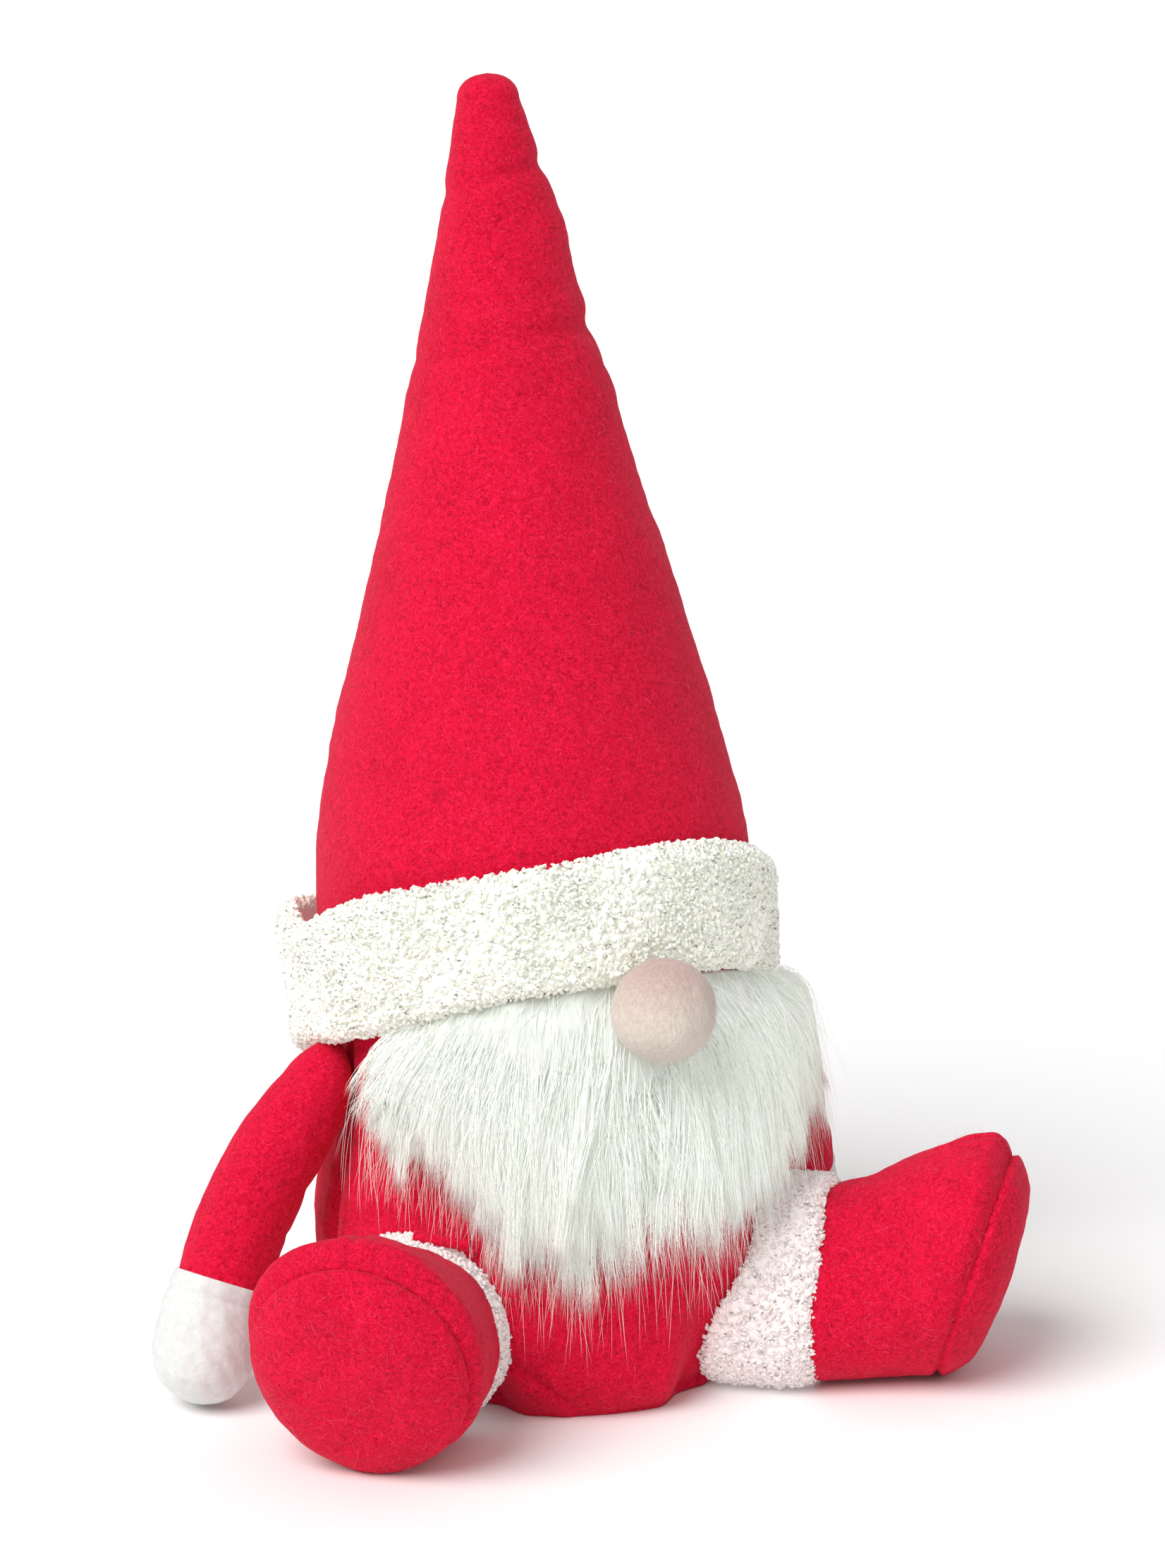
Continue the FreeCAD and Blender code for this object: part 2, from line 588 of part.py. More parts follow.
# ---- checks, then one file for each piece -----------------------------------------
bad = [o.Name for o in doc.Objects
       if any(flag in ("Invalid", "Error") for flag in o.State)]
if bad:
    print("failed objects:", bad)
    sys.exit(1)
for obj in PARTS:
    shape = obj.Shape
    if shape.isNull() or not shape.isValid() or not shape.Solids:
        print("bad shape:", obj.Label)
        sys.exit(1)
os.makedirs("parts", exist_ok=True)
for old in os.listdir("parts"):
    if old.endswith(".step"):
        os.remove(os.path.join("parts", old))
for obj in PARTS:
    shape = obj.Shape
    print("%-22s solids %d  volume %9.1f  z %7.2f..%7.2f" % (
        obj.Label, len(shape.Solids), shape.Volume, shape.BoundBox.ZMin, shape.BoundBox.ZMax))
    shape.exportStep("parts/%s.step" % obj.Label)
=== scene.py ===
import json
import math
import bpy
import numpy as np
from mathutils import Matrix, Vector, kdtree

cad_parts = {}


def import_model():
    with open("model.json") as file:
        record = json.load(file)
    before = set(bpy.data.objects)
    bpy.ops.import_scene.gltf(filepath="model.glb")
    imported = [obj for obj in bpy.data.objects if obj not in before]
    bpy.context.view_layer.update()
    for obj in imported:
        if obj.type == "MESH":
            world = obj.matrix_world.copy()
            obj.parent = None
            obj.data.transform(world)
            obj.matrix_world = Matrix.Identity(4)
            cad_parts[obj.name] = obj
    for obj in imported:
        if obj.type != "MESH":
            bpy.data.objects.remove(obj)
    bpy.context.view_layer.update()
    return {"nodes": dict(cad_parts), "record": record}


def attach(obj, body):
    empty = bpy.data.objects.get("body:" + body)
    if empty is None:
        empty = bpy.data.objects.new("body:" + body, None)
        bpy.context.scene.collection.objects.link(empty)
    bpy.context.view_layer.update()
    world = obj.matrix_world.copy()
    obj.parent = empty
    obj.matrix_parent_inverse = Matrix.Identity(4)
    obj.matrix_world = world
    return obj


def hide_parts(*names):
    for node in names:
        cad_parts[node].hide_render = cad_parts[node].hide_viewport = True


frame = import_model()
PI = math.pi
K = 0.13                      # lean of the body and hat axis
rng = np.random.default_rng(20261118)


# ----------------------------------------------------------------- numbers --
def smooth(a, b, x):
    t = np.clip((x - a) / (b - a), 0, 1)
    return t * t * (3 - 2 * t)


def wave(P, size, seed, octaves=3, gain=0.5):
    """Smooth pseudo-random field of about -1..1 over points in metres."""
    r = np.random.default_rng(seed)
    out, amp, total = np.zeros(len(P)), 1.0, 0.0
    for _ in range(octaves):
        for _ in range(6):
            d = r.normal(size=3)
            d /= np.linalg.norm(d)
            f = 2 * PI / (size * r.uniform(0.75, 1.35))
            out += amp * np.sin(P @ d * f + r.uniform(0, 2 * PI)) / 2.45
        total += amp
        amp *= gain
        size *= 0.5
    return out / total


def curve(rows, step=0.0005, soft=0.004):
    """Smoothed radius table from (position, value) rows, in metres."""
    x = np.array([r[0] for r in rows]) / 1000.0
    y = np.array([r[1] for r in rows]) / 1000.0
    xs = np.arange(x[0], x[-1] + step, step)
    ys = np.interp(xs, x, y)
    n = int(3 * soft / step)
    k = np.exp(-0.5 * (np.arange(-n, n + 1) * step / soft) ** 2)
    k /= k.sum()
    pad = np.concatenate([2 * ys[0] - ys[n:0:-1], ys, 2 * ys[-1] - ys[-2:-n - 2:-1]])
    return xs, np.convolve(pad, k, "valid")


def at(table, x):
    return np.interp(x, table[0], table[1])


# ------------------------------------------------------------------ meshes --
def mesh(name, V, loops, sizes, mats, index=None):
    me = bpy.data.meshes.new(name)
    V = np.asarray(V, np.float32)
    loops = np.asarray(loops, np.int32)
    sizes = np.asarray(sizes, np.int32)
    me.vertices.add(len(V))
    me.vertices.foreach_set("co", V.ravel())
    me.loops.add(len(loops))
    me.loops.foreach_set("vertex_index", loops)
    me.polygons.add(len(sizes))
    me.polygons.foreach_set("loop_start", np.concatenate([[0], np.cumsum(sizes)[:-1]]).astype(np.int32))
    me.polygons.foreach_set("use_smooth", np.ones(len(sizes), bool))
    for m in (mats if isinstance(mats, (list, tuple)) else [mats]):
        me.materials.append(m)
    if index is not None:
        me.polygons.foreach_set("material_index", np.asarray(index, np.int32))
    me.update(calc_edges=True)
    me.validate()
    ob = bpy.data.objects.new(name, me)
    bpy.context.scene.collection.objects.link(ob)
    return ob


def skin(name, G, mats, first=None, last=None, ring=False):
    """Closed surface from a grid G (rows, around, 3). first and last are the
    end points that close it; ring joins the last row to the first instead."""
    nv, nu = G.shape[:2]
    V = G.reshape(-1, 3)
    i = np.arange(nu)
    j = (i + 1) % nu
    quads = []
    rows = nv if ring else nv - 1
    for v in range(rows):
        a, b = v * nu, ((v + 1) % nv) * nu
        quads.append(np.stack([a + i, a + j, b + j, b + i], 1))
    loops = np.concatenate(quads).ravel()
    sizes = np.full(rows * nu, 4)
    extra = []
    if first is not None:
        V = np.vstack([V, [first]])
        c = len(V) - 1
        extra.append(np.stack([np.full(nu, c), j, i], 1))
    if last is not None:
        V = np.vstack([V, [last]])
        c = len(V) - 1
        a = (nv - 1) * nu
        extra.append(np.stack([np.full(nu, c), a + i, a + j], 1))
    if extra:
        t = np.concatenate(extra)
        loops = np.concatenate([loops, t.ravel()])
        sizes = np.concatenate([sizes, np.full(len(t), 3)])
    return mesh(name, V, loops, sizes, mats)


def normals(G, ring_u=True):
    """Outward-ish normals of a closed-around grid, by differences."""
    du = np.roll(G, -1, 1) - np.roll(G, 1, 1)
    dv = np.gradient(G, axis=0)
    n = np.cross(du, dv)
    n /= np.linalg.norm(n, axis=2, keepdims=True) + 1e-12
    return n


def tubes(name, paths, radii, mats, sides=3):
    """Many thin closed tubes in one piece. paths (n, k, 3), radii (n, k);
    each tube ends in a point."""
    n, k = paths.shape[:2]
    d = np.gradient(paths, axis=1)
    d /= np.linalg.norm(d, axis=2, keepdims=True) + 1e-12
    ref = np.tile(np.array([0.31, 0.22, 0.92]), (n, 1))
    flip = np.abs((d[:, 0] * ref).sum(1)) > 0.9
    ref[flip] = [1, 0, 0]
    a = np.cross(d, ref[:, None, :])
    a /= np.linalg.norm(a, axis=2, keepdims=True) + 1e-12
    b = np.cross(d, a)
    ang = np.arange(sides) * 2 * PI / sides
    ringpts = (paths[:, :-1, None, :]
               + radii[:, :-1, None, None] * (np.cos(ang)[None, None, :, None] * a[:, :-1, None, :]
                                              + np.sin(ang)[None, None, :, None] * b[:, :-1, None, :]))
    per = (k - 1) * sides + 1
    V = np.concatenate([ringpts.reshape(n, -1, 3), paths[:, -1:, :]], 1)
    i = np.arange(sides)
    j = (i + 1) % sides
    quads = np.concatenate([np.stack([r * sides + i, r * sides + j, (r + 1) * sides + j, (r + 1) * sides + i], 1)
                            for r in range(k - 2)])
    tip = np.stack([(k - 2) * sides + i, (k - 2) * sides + j, np.full(sides, per - 1)], 1)
    base = np.arange(sides)[::-1]
    off = np.arange(n) * per
    q = (quads[None] + off[:, None, None]).reshape(n, -1)
    t = (tip[None] + off[:, None, None]).reshape(n, -1)
    c = base[None] + off[:, None]
    loops = np.concatenate([q, t, c], 1).ravel()
    sizes = np.tile(np.concatenate([np.full(len(quads), 4), np.full(sides, 3), [sides]]), n)
    return mesh(name, V.reshape(-1, 3), loops, sizes, mats)


# --------------------------------------------------------------- materials --
def material(name):
    m = bpy.data.materials.new(name)
    m.use_nodes = True
    nt = m.node_tree
    bsdf = [n for n in nt.nodes if n.type == "BSDF_PRINCIPLED"][0]
    return m, nt, bsdf


def noise(nt, scale, detail=3.0, rough=0.6, distort=0.0, stretch=None):
    co = nt.nodes.new("ShaderNodeTexCoord")
    out = co.outputs["Object"]
    if stretch:
        mp = nt.nodes.new("ShaderNodeMapping")
        mp.inputs["Scale"].default_value = stretch
        nt.links.new(out, mp.inputs["Vector"])
        out = mp.outputs["Vector"]
    n = nt.nodes.new("ShaderNodeTexNoise")
    n.inputs["Scale"].default_value = scale
    n.inputs["Detail"].default_value = detail
    n.inputs["Roughness"].default_value = rough
    n.inputs["Distortion"].default_value = distort
    nt.links.new(out, n.inputs["Vector"])
    return n.outputs["Fac"]


def ramp(nt, fac, stops):
    r = nt.nodes.new("ShaderNodeValToRGB")
    el = r.color_ramp.elements
    el[0].position, el[0].color = stops[0][0], (*stops[0][1], 1)
    el[1].position, el[1].color = stops[-1][0], (*stops[-1][1], 1)
    for pos, col in stops[1:-1]:
        e = el.new(pos)
        e.color = (*col, 1)
    nt.links.new(fac, r.inputs["Fac"])
    return r.outputs["Color"]


def mix(nt, kind, fac, a, b):
    m = nt.nodes.new("ShaderNodeMix")
    m.data_type = "RGBA"
    m.blend_type = kind
    if isinstance(fac, float):
        m.inputs["Factor"].default_value = fac
    else:
        nt.links.new(fac, m.inputs["Factor"])
    for sock, val in ((m.inputs["A"], a), (m.inputs["B"], b)):
        if isinstance(val, tuple):
            sock.default_value = (*val, 1)
        else:
            nt.links.new(val, sock)
    return m.outputs["Result"]


def bump(nt, bsdf, heights):
    """Chain of bumps: (height socket, strength, distance)."""
    last = None
    for h, strength, distance in heights:
        b = nt.nodes.new("ShaderNodeBump")
        b.inputs["Strength"].default_value = strength
        b.inputs["Distance"].default_value = distance
        nt.links.new(h, b.inputs["Height"])
        if last is not None:
            nt.links.new(last, b.inputs["Normal"])
        last = b.outputs["Normal"]
    nt.links.new(last, bsdf.inputs["Normal"])


def red_felt(name="red_felt"):
    m, nt, p = material(name)
    fine = noise(nt, 780.0, 5.0, 0.72, 1.6)
    fuzz = noise(nt, 300.0, 4.0, 0.65, 2.6)
    broad = noise(nt, 34.0, 2.0, 0.5)
    col = ramp(nt, fine, [(0.30, (0.46, 0.000, 0.012)), (0.5, (0.80, 0.005, 0.042)), (0.70, (0.99, 0.026, 0.112))])
    col2 = ramp(nt, fuzz, [(0.34, (0.52, 0.52, 0.52)), (0.50, (0.92, 0.92, 0.92)), (0.66, (1.0, 1.0, 1.0))])
    col = mix(nt, "MULTIPLY", 0.75, col, col2)
    col3 = ramp(nt, broad, [(0.3, (0.90, 0.90, 0.90)), (0.7, (1.0, 1.0, 1.0))])
    col = mix(nt, "MULTIPLY", 1.0, col, col3)
    nt.links.new(col, p.inputs["Base Color"])
    p.inputs["Roughness"].default_value = 0.94
    p.inputs["Specular IOR Level"].default_value = 0.12
    p.inputs["Sheen Weight"].default_value = 0.13
    p.inputs["Sheen Roughness"].default_value = 0.42
    p.inputs["Sheen Tint"].default_value = (1.0, 0.42, 0.52, 1)
    bump(nt, p, [(fuzz, 0.55, 0.0007), (fine, 0.6, 0.00035)])
    return m


def teddy(name, a, b):
    m, nt, p = material(name)
    spot = noise(nt, 240.0, 3.0, 0.6, 0.8)
    fibre = noise(nt, 1900.0, 4.0, 0.7, 1.0)
    col = ramp(nt, spot, [(0.3, a), (0.62, b)])
    nt.links.new(col, p.inputs["Base Color"])
    p.inputs["Roughness"].default_value = 0.9
    p.inputs["Specular IOR Level"].default_value = 0.15
    p.inputs["Sheen Weight"].default_value = 0.3
    p.inputs["Sheen Roughness"].default_value = 0.5
    p.inputs["Subsurface Weight"].default_value = 0.25
    p.inputs["Subsurface Radius"].default_value = (0.003, 0.0028, 0.0024)
    p.inputs["Subsurface Scale"].default_value = 0.6
    # painted light: the cloth glows faintly in its own colour, to lift the shade in the deep gaps between the curls
    nt.links.new(col, p.inputs["Emission Color"])
    p.inputs["Emission Strength"].default_value = 0.13
    bump(nt, p, [(fibre, 0.5, 0.00025)])
    return m


def fur(name, a, b, rough=0.5, painted_glow=0.0):
    m, nt, p = material(name)
    v = noise(nt, 130.0, 2.0, 0.5)
    col = ramp(nt, v, [(0.3, a), (0.7, b)])
    nt.links.new(col, p.inputs["Base Color"])
    p.inputs["Roughness"].default_value = rough
    p.inputs["Specular IOR Level"].default_value = 0.35
    p.inputs["Sheen Weight"].default_value = 0.25
    p.inputs["Sheen Roughness"].default_value = 0.4
    # painted light: the fur glows in its own colour, to lift the shade deep among the strands
    if painted_glow:
        nt.links.new(col, p.inputs["Emission Color"])
        p.inputs["Emission Strength"].default_value = painted_glow
    return m


def velour():
    m, nt, p = material("white_velour")
    v = noise(nt, 420.0, 4.0, 0.65, 0.8)
    w = noise(nt, 60.0, 2.0, 0.5)
    col = ramp(nt, v, [(0.3, (0.66, 0.68, 0.66)), (0.65, (0.76, 0.78, 0.76))])
    col = mix(nt, "MULTIPLY", 0.6, col, ramp(nt, w, [(0.3, (0.93, 0.93, 0.92)), (0.7, (1.0, 1.0, 1.0))]))
    nt.links.new(col, p.inputs["Base Color"])
    p.inputs["Roughness"].default_value = 0.9
    p.inputs["Specular IOR Level"].default_value = 0.12
    p.inputs["Sheen Weight"].default_value = 0.45
    p.inputs["Sheen Roughness"].default_value = 0.4
    bump(nt, p, [(v, 0.35, 0.0003)])
    return m


def nose_wool():
    m, nt, p = material("nose_wool")
    co = nt.nodes.new("ShaderNodeTexCoord")
    sep = nt.nodes.new("ShaderNodeSeparateXYZ")
    nt.links.new(co.outputs["Object"], sep.inputs["Vector"])
    # painted shade: the colour runs darker and pinker from the bottom of the ball to its top, where it tucks under the
    # hat band
    mr = nt.nodes.new("ShaderNodeMapRange")
    mr.inputs["From Min"].default_value = 0.1305
    mr.inputs["From Max"].default_value = 0.1675
    nt.links.new(sep.outputs["Z"], mr.inputs["Value"])
    fibre = noise(nt, 520.0, 4.0, 0.7, 1.2, (1.0, 1.0, 0.28))
    fine = noise(nt, 1500.0, 3.0, 0.7, 0.8, (1.0, 1.0, 0.4))
    add = nt.nodes.new("ShaderNodeMath")
    add.operation = "MULTIPLY_ADD"
    nt.links.new(fibre, add.inputs[0])
    add.inputs[1].default_value = 0.9
    nt.links.new(mr.outputs["Result"], add.inputs[2])
    sub = nt.nodes.new("ShaderNodeMath")
    sub.operation = "SUBTRACT"
    nt.links.new(add.outputs[0], sub.inputs[0])
    sub.inputs[1].default_value = 0.45
    col = ramp(nt, sub.outputs[0], [(0.12, (0.70, 0.66, 0.58)), (0.5, (0.69, 0.61, 0.54)), (0.95, (0.58, 0.42, 0.38))])
    col = mix(nt, "MULTIPLY", 0.8, col, ramp(nt, fine, [(0.25, (0.78, 0.74, 0.72)), (0.6, (1.0, 1.0, 1.0))]))
    nt.links.new(col, p.inputs["Base Color"])
    p.inputs["Roughness"].default_value = 0.92
    p.inputs["Specular IOR Level"].default_value = 0.12
    p.inputs["Sheen Weight"].default_value = 0.35
    p.inputs["Sheen Roughness"].default_value = 0.45
    bump(nt, p, [(fibre, 0.7, 0.0006), (fine, 0.5, 0.0003)])
    return m


FELT = red_felt()
# teddy cloth of the hat band; it glows faintly, painted light in the gaps between the curls
TEDDY = teddy("teddy_cloth", (0.90, 0.91, 0.80), (0.97, 0.98, 0.90))
# the cuffs are the hat band's teddy cloth, tinted darker and pink: painted shade and painted red bounce light from the
# felt
CUFF_PAINTED_BOUNCE = teddy("teddy_cuff_painted_bounce", (0.86, 0.76, 0.74), (0.95, 0.88, 0.86))
# beard hair glows faintly (0.13), painted light that lifts the shade deep among the strands
BEARD = fur("beard_fur", (0.93, 0.97, 0.90), (0.97, 0.99, 0.95), 0.45, 0.13)
BEARD_BASE = fur("beard_base", (0.70, 0.74, 0.68), (0.80, 0.83, 0.78), 0.8)
FLUFF = fur("felt_fluff", (0.90, 0.06, 0.13), (0.95, 0.22, 0.32), 0.6)
WHITE_FLUFF = fur("white_fluff", (0.86, 0.86, 0.84), (0.93, 0.93, 0.92), 0.6)
NOSE = nose_wool()
MITT = velour()
FILL, nt, p = material("stuffing_fibre")
nt.links.new(ramp(nt, noise(nt, 160.0, 4.0, 0.7, 2.0), [(0.3, (0.78, 0.78, 0.76)), (0.7, (0.92, 0.92, 0.90))]),
             p.inputs["Base Color"])
p.inputs["Roughness"].default_value = 0.95
bump(nt, p, [(noise(nt, 300.0, 4.0, 0.7, 2.0), 0.6, 0.001)])


# --------------------------------------------------------------- the shapes --
BODY = curve([(-14, 60), (0, 71.5), (5, 78.0), (15, 83.6), (32, 86.2), (52, 86.0), (70, 82.8), (84, 78.6),
              (96, 76.2), (116, 75.4), (140, 75.0), (160, 74.0), (180, 70)], soft=0.0035)
HAT = curve([(60, 78.8), (120, 78.8), (177, 78.2), (187, 77.2), (208, 73.0), (233, 66.7), (258, 59.7), (284, 52.4),
             (309, 44.8), (334, 37.8), (358, 31.6), (383, 25.8), (408, 20.0), (428, 15.4), (440, 12.9),
             (448, 10.9), (456, 9.0)], soft=0.005)


def axis(z):
    z = np.asarray(z, float)
    return np.stack([np.zeros_like(z), K * z, z], -1)


TH = math.radians(7.4)


def tilted(phi, h, r):
    """Point of a cone that leans back as a whole; h is the height its
    centre line has reached, r the radius square to that line."""
    return np.stack([r * np.sin(phi),
                     h * math.tan(TH) - r * np.cos(phi) * math.cos(TH),
                     h + r * np.cos(phi) * math.sin(TH)], -1)


def cyl(phi, z, r, cx=0.0):
    """Point at azimuth phi (0 = front, + to the figure's left) and height z."""
    p = axis(z)
    p[..., 0] += cx + r * np.sin(phi)
    p[..., 1] += -r * np.cos(phi)
    return p


# hat ------------------------------------------------------------------------
def hat_piece():
    nu, nv = 250, 250
    phi = np.linspace(-PI, PI, nu, endpoint=False)
    t = np.linspace(0, 1, nv) ** 0.97
    low = 0.124 + 0.258 * 0.0786 * np.cos(phi)
    z = low[None] + t[:, None] * (0.4475 - low[None])
    P = phi[None] + 0 * z
    r = at(HAT, z) + 0.0007 * smooth(0.18, 0.23, z) * smooth(0.45, 0.40, z)
    # soft creases across the cone, and the full places between them
    face = 0.5 + 0.5 * np.cos(P - 0.35)
    for zc, depth, wide in ((0.419, 0.0013, 0.0034), (0.362, 0.0016, 0.0038), (0.300, 0.0006, 0.010)):
        bend = zc + 0.005 * np.sin(P * 1.0 + 0.6)
        r -= depth * np.exp(-((z - bend) / wide) ** 2) * (0.35 + 0.65 * face)
    for zc, up in ((0.4265, 0.0006), (0.3705, 0.0008), (0.411, 0.0005), (0.353, 0.0006)):
        r += up * np.exp(-((z - zc - 0.005 * np.sin(P * 1.0 + 0.6)) / 0.0045) ** 2) * face
    for zc, up, wide, toward in ((0.403, 0.0013, 0.010, 1.1), (0.345, 0.0017, 0.010, 1.2), (0.330, 0.0008, 0.03, -2.0)):
        r += up * np.exp(-((z - zc) / wide) ** 2) * np.clip(np.cos(P - toward), 0, 1) ** 1.5
    # back seam with small puckers
    seam = np.abs((P + 2 * PI) % (2 * PI) - PI) * r
    r -= 0.0013 * np.exp(-(seam / 0.0016) ** 2) * smooth(0.452, 0.44, z)
    r += 0.0006 * np.exp(-((seam - 0.006) / 0.004) ** 2) * (1 + 0.5 * np.sin(z * 900))
    G = tilted(P, z, r)
    push = 0.0014 * smooth(0.21, 0.30, z) * smooth(0.46, 0.40, z)
    G[..., 0] += 0.899 * push
    G[..., 1] += -0.438 * push
    flat = G.reshape(-1, 3)
    n = normals(G).reshape(-1, 3)
    mid = np.stack([0 * z, z * math.tan(TH), z], -1).reshape(-1, 3)
    n *= np.sign((n * (flat - mid)).sum(1))[:, None]
    fade = (smooth(0.455, 0.40, z) * smooth(0.15, 0.19, z)).ravel()
    d = 0.0006 * wave(flat, 0.075, 11, 2) * fade + 0.00022 * wave(flat, 0.012, 12, 3)
    G = (flat + n * d[:, None]).reshape(G.shape)
    # rounded tip
    top = G[-1]
    c = top.mean(0)
    rows = []
    for a in np.linspace(0.12, 1.42, 12):
        q = c + (top - c) * math.cos(a) ** 0.85
        q += 0.0088 * math.sin(a) * np.array([0, math.sin(TH), math.cos(TH)])
        rows.append(q)
    tip = c + 0.0090 * np.array([0, math.sin(TH), math.cos(TH)])
    # lower edge is turned in and runs a little way up inside the cone
    inner = []
    for dz, dr in ((-0.0008, 0.0005), (-0.001, 0.0014), (0.0, 0.0018), (0.008, 0.0018), (0.020, 0.0018)):
        q = tilted(phi, low + dz, at(HAT, low) - dr)
        inner.append(q)
    G = np.concatenate([np.array(inner[::-1]), G, np.array(rows)])
    ob = skin("hat_felt_cone", G, FELT, first=inner[-1].mean(0), last=tip)
    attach(ob, "torso")
    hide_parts("hat_cone")
    # stuffing, from the top of the body up into the point
    hs = np.linspace(0.196, 0.438, 70)
    ps = np.linspace(-PI, PI, 96, endpoint=False)
    S = np.array([tilted(ps, np.full(96, h), np.full(96, float(at(HAT, h)) - 0.0052)) for h in hs])
    S = np.concatenate([tilted(ps, np.full(96, 0.1955), np.full(96, 0.055))[None], S])
    st = skin("hat_stuffing", S, FILL, first=S[0].mean(0), last=S[-1].mean(0) + [0, 0, 0.003])
    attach(st, "torso")
    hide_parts("hat_filling")
    return ob


# body -------------------------------------------------------------------------
def body_radius(phi, z):
    r = at(BODY, z)
    # the hips swell a little over each leg
    for side in (-1, 1):
        d = phi - side * math.radians(50)
        r = r + 0.0026 * np.exp(-(d / 0.42) ** 2) * np.exp(-((z - 0.052) / 0.018) ** 2)
    # and tuck under low down where the cuffs press against them
    tuck = np.interp(z, [-0.01, 0.0, 0.005, 0.015, 0.030, 0.045, 0.055],
                     [0.0060, 0.0068, 0.0112, 0.0112, 0.0066, 0.0014, 0.0])
    win = (smooth(math.radians(2), math.radians(15), phi) * smooth(math.radians(66), math.radians(50), phi)
           + smooth(math.radians(-92), math.radians(-80), phi) * smooth(math.radians(-34), math.radians(-46), phi))
    return r - tuck * win


def body_piece(name, lo, hi, node):
    """One felt panel of the body, between two side seams, as a padded form."""
    nu, nv = 180, 115
    phi = np.linspace(lo, hi, nu)
    z = np.concatenate([np.linspace(0.0012, 0.012, 16), np.linspace(0.0125, 0.150, nv - 16)])
    P, Z = np.meshgrid(phi, z)
    r = body_radius(P, Z)
    edge = np.minimum(P - lo, hi - P) * r
    r = r - 0.0016 * np.exp(-(edge / 0.0018) ** 2)
    r = r + 0.0005 * np.exp(-((edge - 0.007) / 0.004) ** 2) * (1 + 0.6 * np.sin(Z * 620))
    if node == "body_front_panel":
        # hip creases that rise from the base towards the legs
        for side in (-1, 1):
            a = side * (P - side * math.radians(21.0)) * r
            line = 0.004 + 0.86 * np.clip(a, 0, 0.045)
            d = (Z - line) * 0.76
            on = smooth(-0.003, 0.006, a) * smooth(0.036, 0.024, a)
            r = r - 0.0017 * np.exp(-(d / 0.0011) ** 2) * on + 0.0011 * np.exp(-((d + 0.004) / 0.003) ** 2) * on
    out = cyl(P, Z, r)
    flat = out.reshape(-1, 3)
    n = flat - axis(flat[:, 2])
    n /= np.linalg.norm(n, axis=1, keepdims=True)
    keep = smooth(0.0, 0.008, edge.ravel()) * smooth(0.0, 0.01, flat[:, 2])
    d = (0.0010 * wave(flat, 0.06, 31, 2) + 0.0002 * wave(flat, 0.010, 32, 2)) * keep
    out = (flat + n * d[:, None]).reshape(out.shape)
    # bottom edge rolls under towards the base panel
    under = []
    for rr, zz in ((0.9985, 0.0006), (0.992, 0.0002), (0.975, 0.0001)):
        q = out[0].copy()
        q[:, :2] *= rr
        q[:, 2] = zz
        under.append(q)
    out = np.concatenate([np.array(under[::-1]), out])
    # inner face, two millimetres in
    inn = out.copy()
    a = axis(inn[..., 2])
    a[..., 2] = inn[..., 2]
    w = inn - a
    ln = np.linalg.norm(w, axis=2, keepdims=True)
    inn = a + w * (1 - 0.002 / ln)
    nv2, nu2 = out.shape[:2]
    V = np.concatenate([out.reshape(-1, 3), inn.reshape(-1, 3)])
    m = nv2 * nu2
    idx = np.arange(m).reshape(nv2, nu2)
    q1 = np.stack([idx[:-1, :-1], idx[:-1, 1:], idx[1:, 1:], idx[1:, :-1]], -1).reshape(-1, 4)
    q2 = (q1 + m)[:, ::-1]
    e = []
    for line, rev in ((idx[0], False), (idx[-1], True), (idx[:, 0], True), (idx[:, -1], False)):
        a0, b0 = line[:-1], line[1:]
        qq = np.stack([b0, a0, a0 + m, b0 + m], 1)
        e.append(qq[:, ::-1] if rev else qq)
    Q = np.concatenate([q1, q2] + e)
    ob = mesh(name, V, Q.ravel(), np.full(len(Q), 4), FELT)
    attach(ob, "torso")
    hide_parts(node)
    return ob


def body_inside():
    """Base panel and stuffing, with room in it for the weight bag."""
    nu = 180
    phi = np.linspace(-PI, PI, nu, endpoint=False)
    edge = body_radius(phi, np.full(nu, 0.002)) - 0.0030
    rows = [cyl(phi, np.full(nu, z), f * edge + g) for z, f, g in
            ((0.0022, 0.3, 0.0), (0.0022, 0.97, 0.0), (0.0020, 1.0, -0.0002), (0.0011, 1.0, 0.0),
             (0.0003, 1.0, -0.0004), (0.0001, 0.97, 0.0), (0.0001, 0.3, 0.0))]
    G = np.array(rows)
    G[..., 1] -= K * G[..., 2]
    base = skin("base_felt", G, FELT, first=np.array([0, 0, 0.0022]), last=np.array([0, 0, 0.0001]))
    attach(base, "torso")
    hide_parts("base_panel")
    rows = []
    for R, z in ((0.02, 0.0232), (0.053, 0.0232), (0.0584, 0.0210), (0.0607, 0.0160), (0.0607, 0.0030)):
        q = np.stack([R * np.sin(phi), -R * np.cos(phi), np.full(nu, z)], 1)
        rows.append(q)
    for z in np.concatenate([[0.0026, 0.0032], np.linspace(0.005, 0.160, 60)]):
        zz = np.full(nu, z)
        rows.append(cyl(phi, zz, body_radius(phi, zz) - 0.0048))
    for z, f in ((0.166, 0.90), (0.171, 0.75), (0.1745, 0.5), (0.176, 0.2)):
        zz = np.full(nu, z)
        rows.append(cyl(phi, zz, 0.068 * f))
    G = np.array(rows)
    st = skin("body_stuffing", G, FILL, first=np.array([0, 0, 0.0232]), last=axis(np.array(0.1762)))
    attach(st, "torso")
    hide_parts("body_filling")


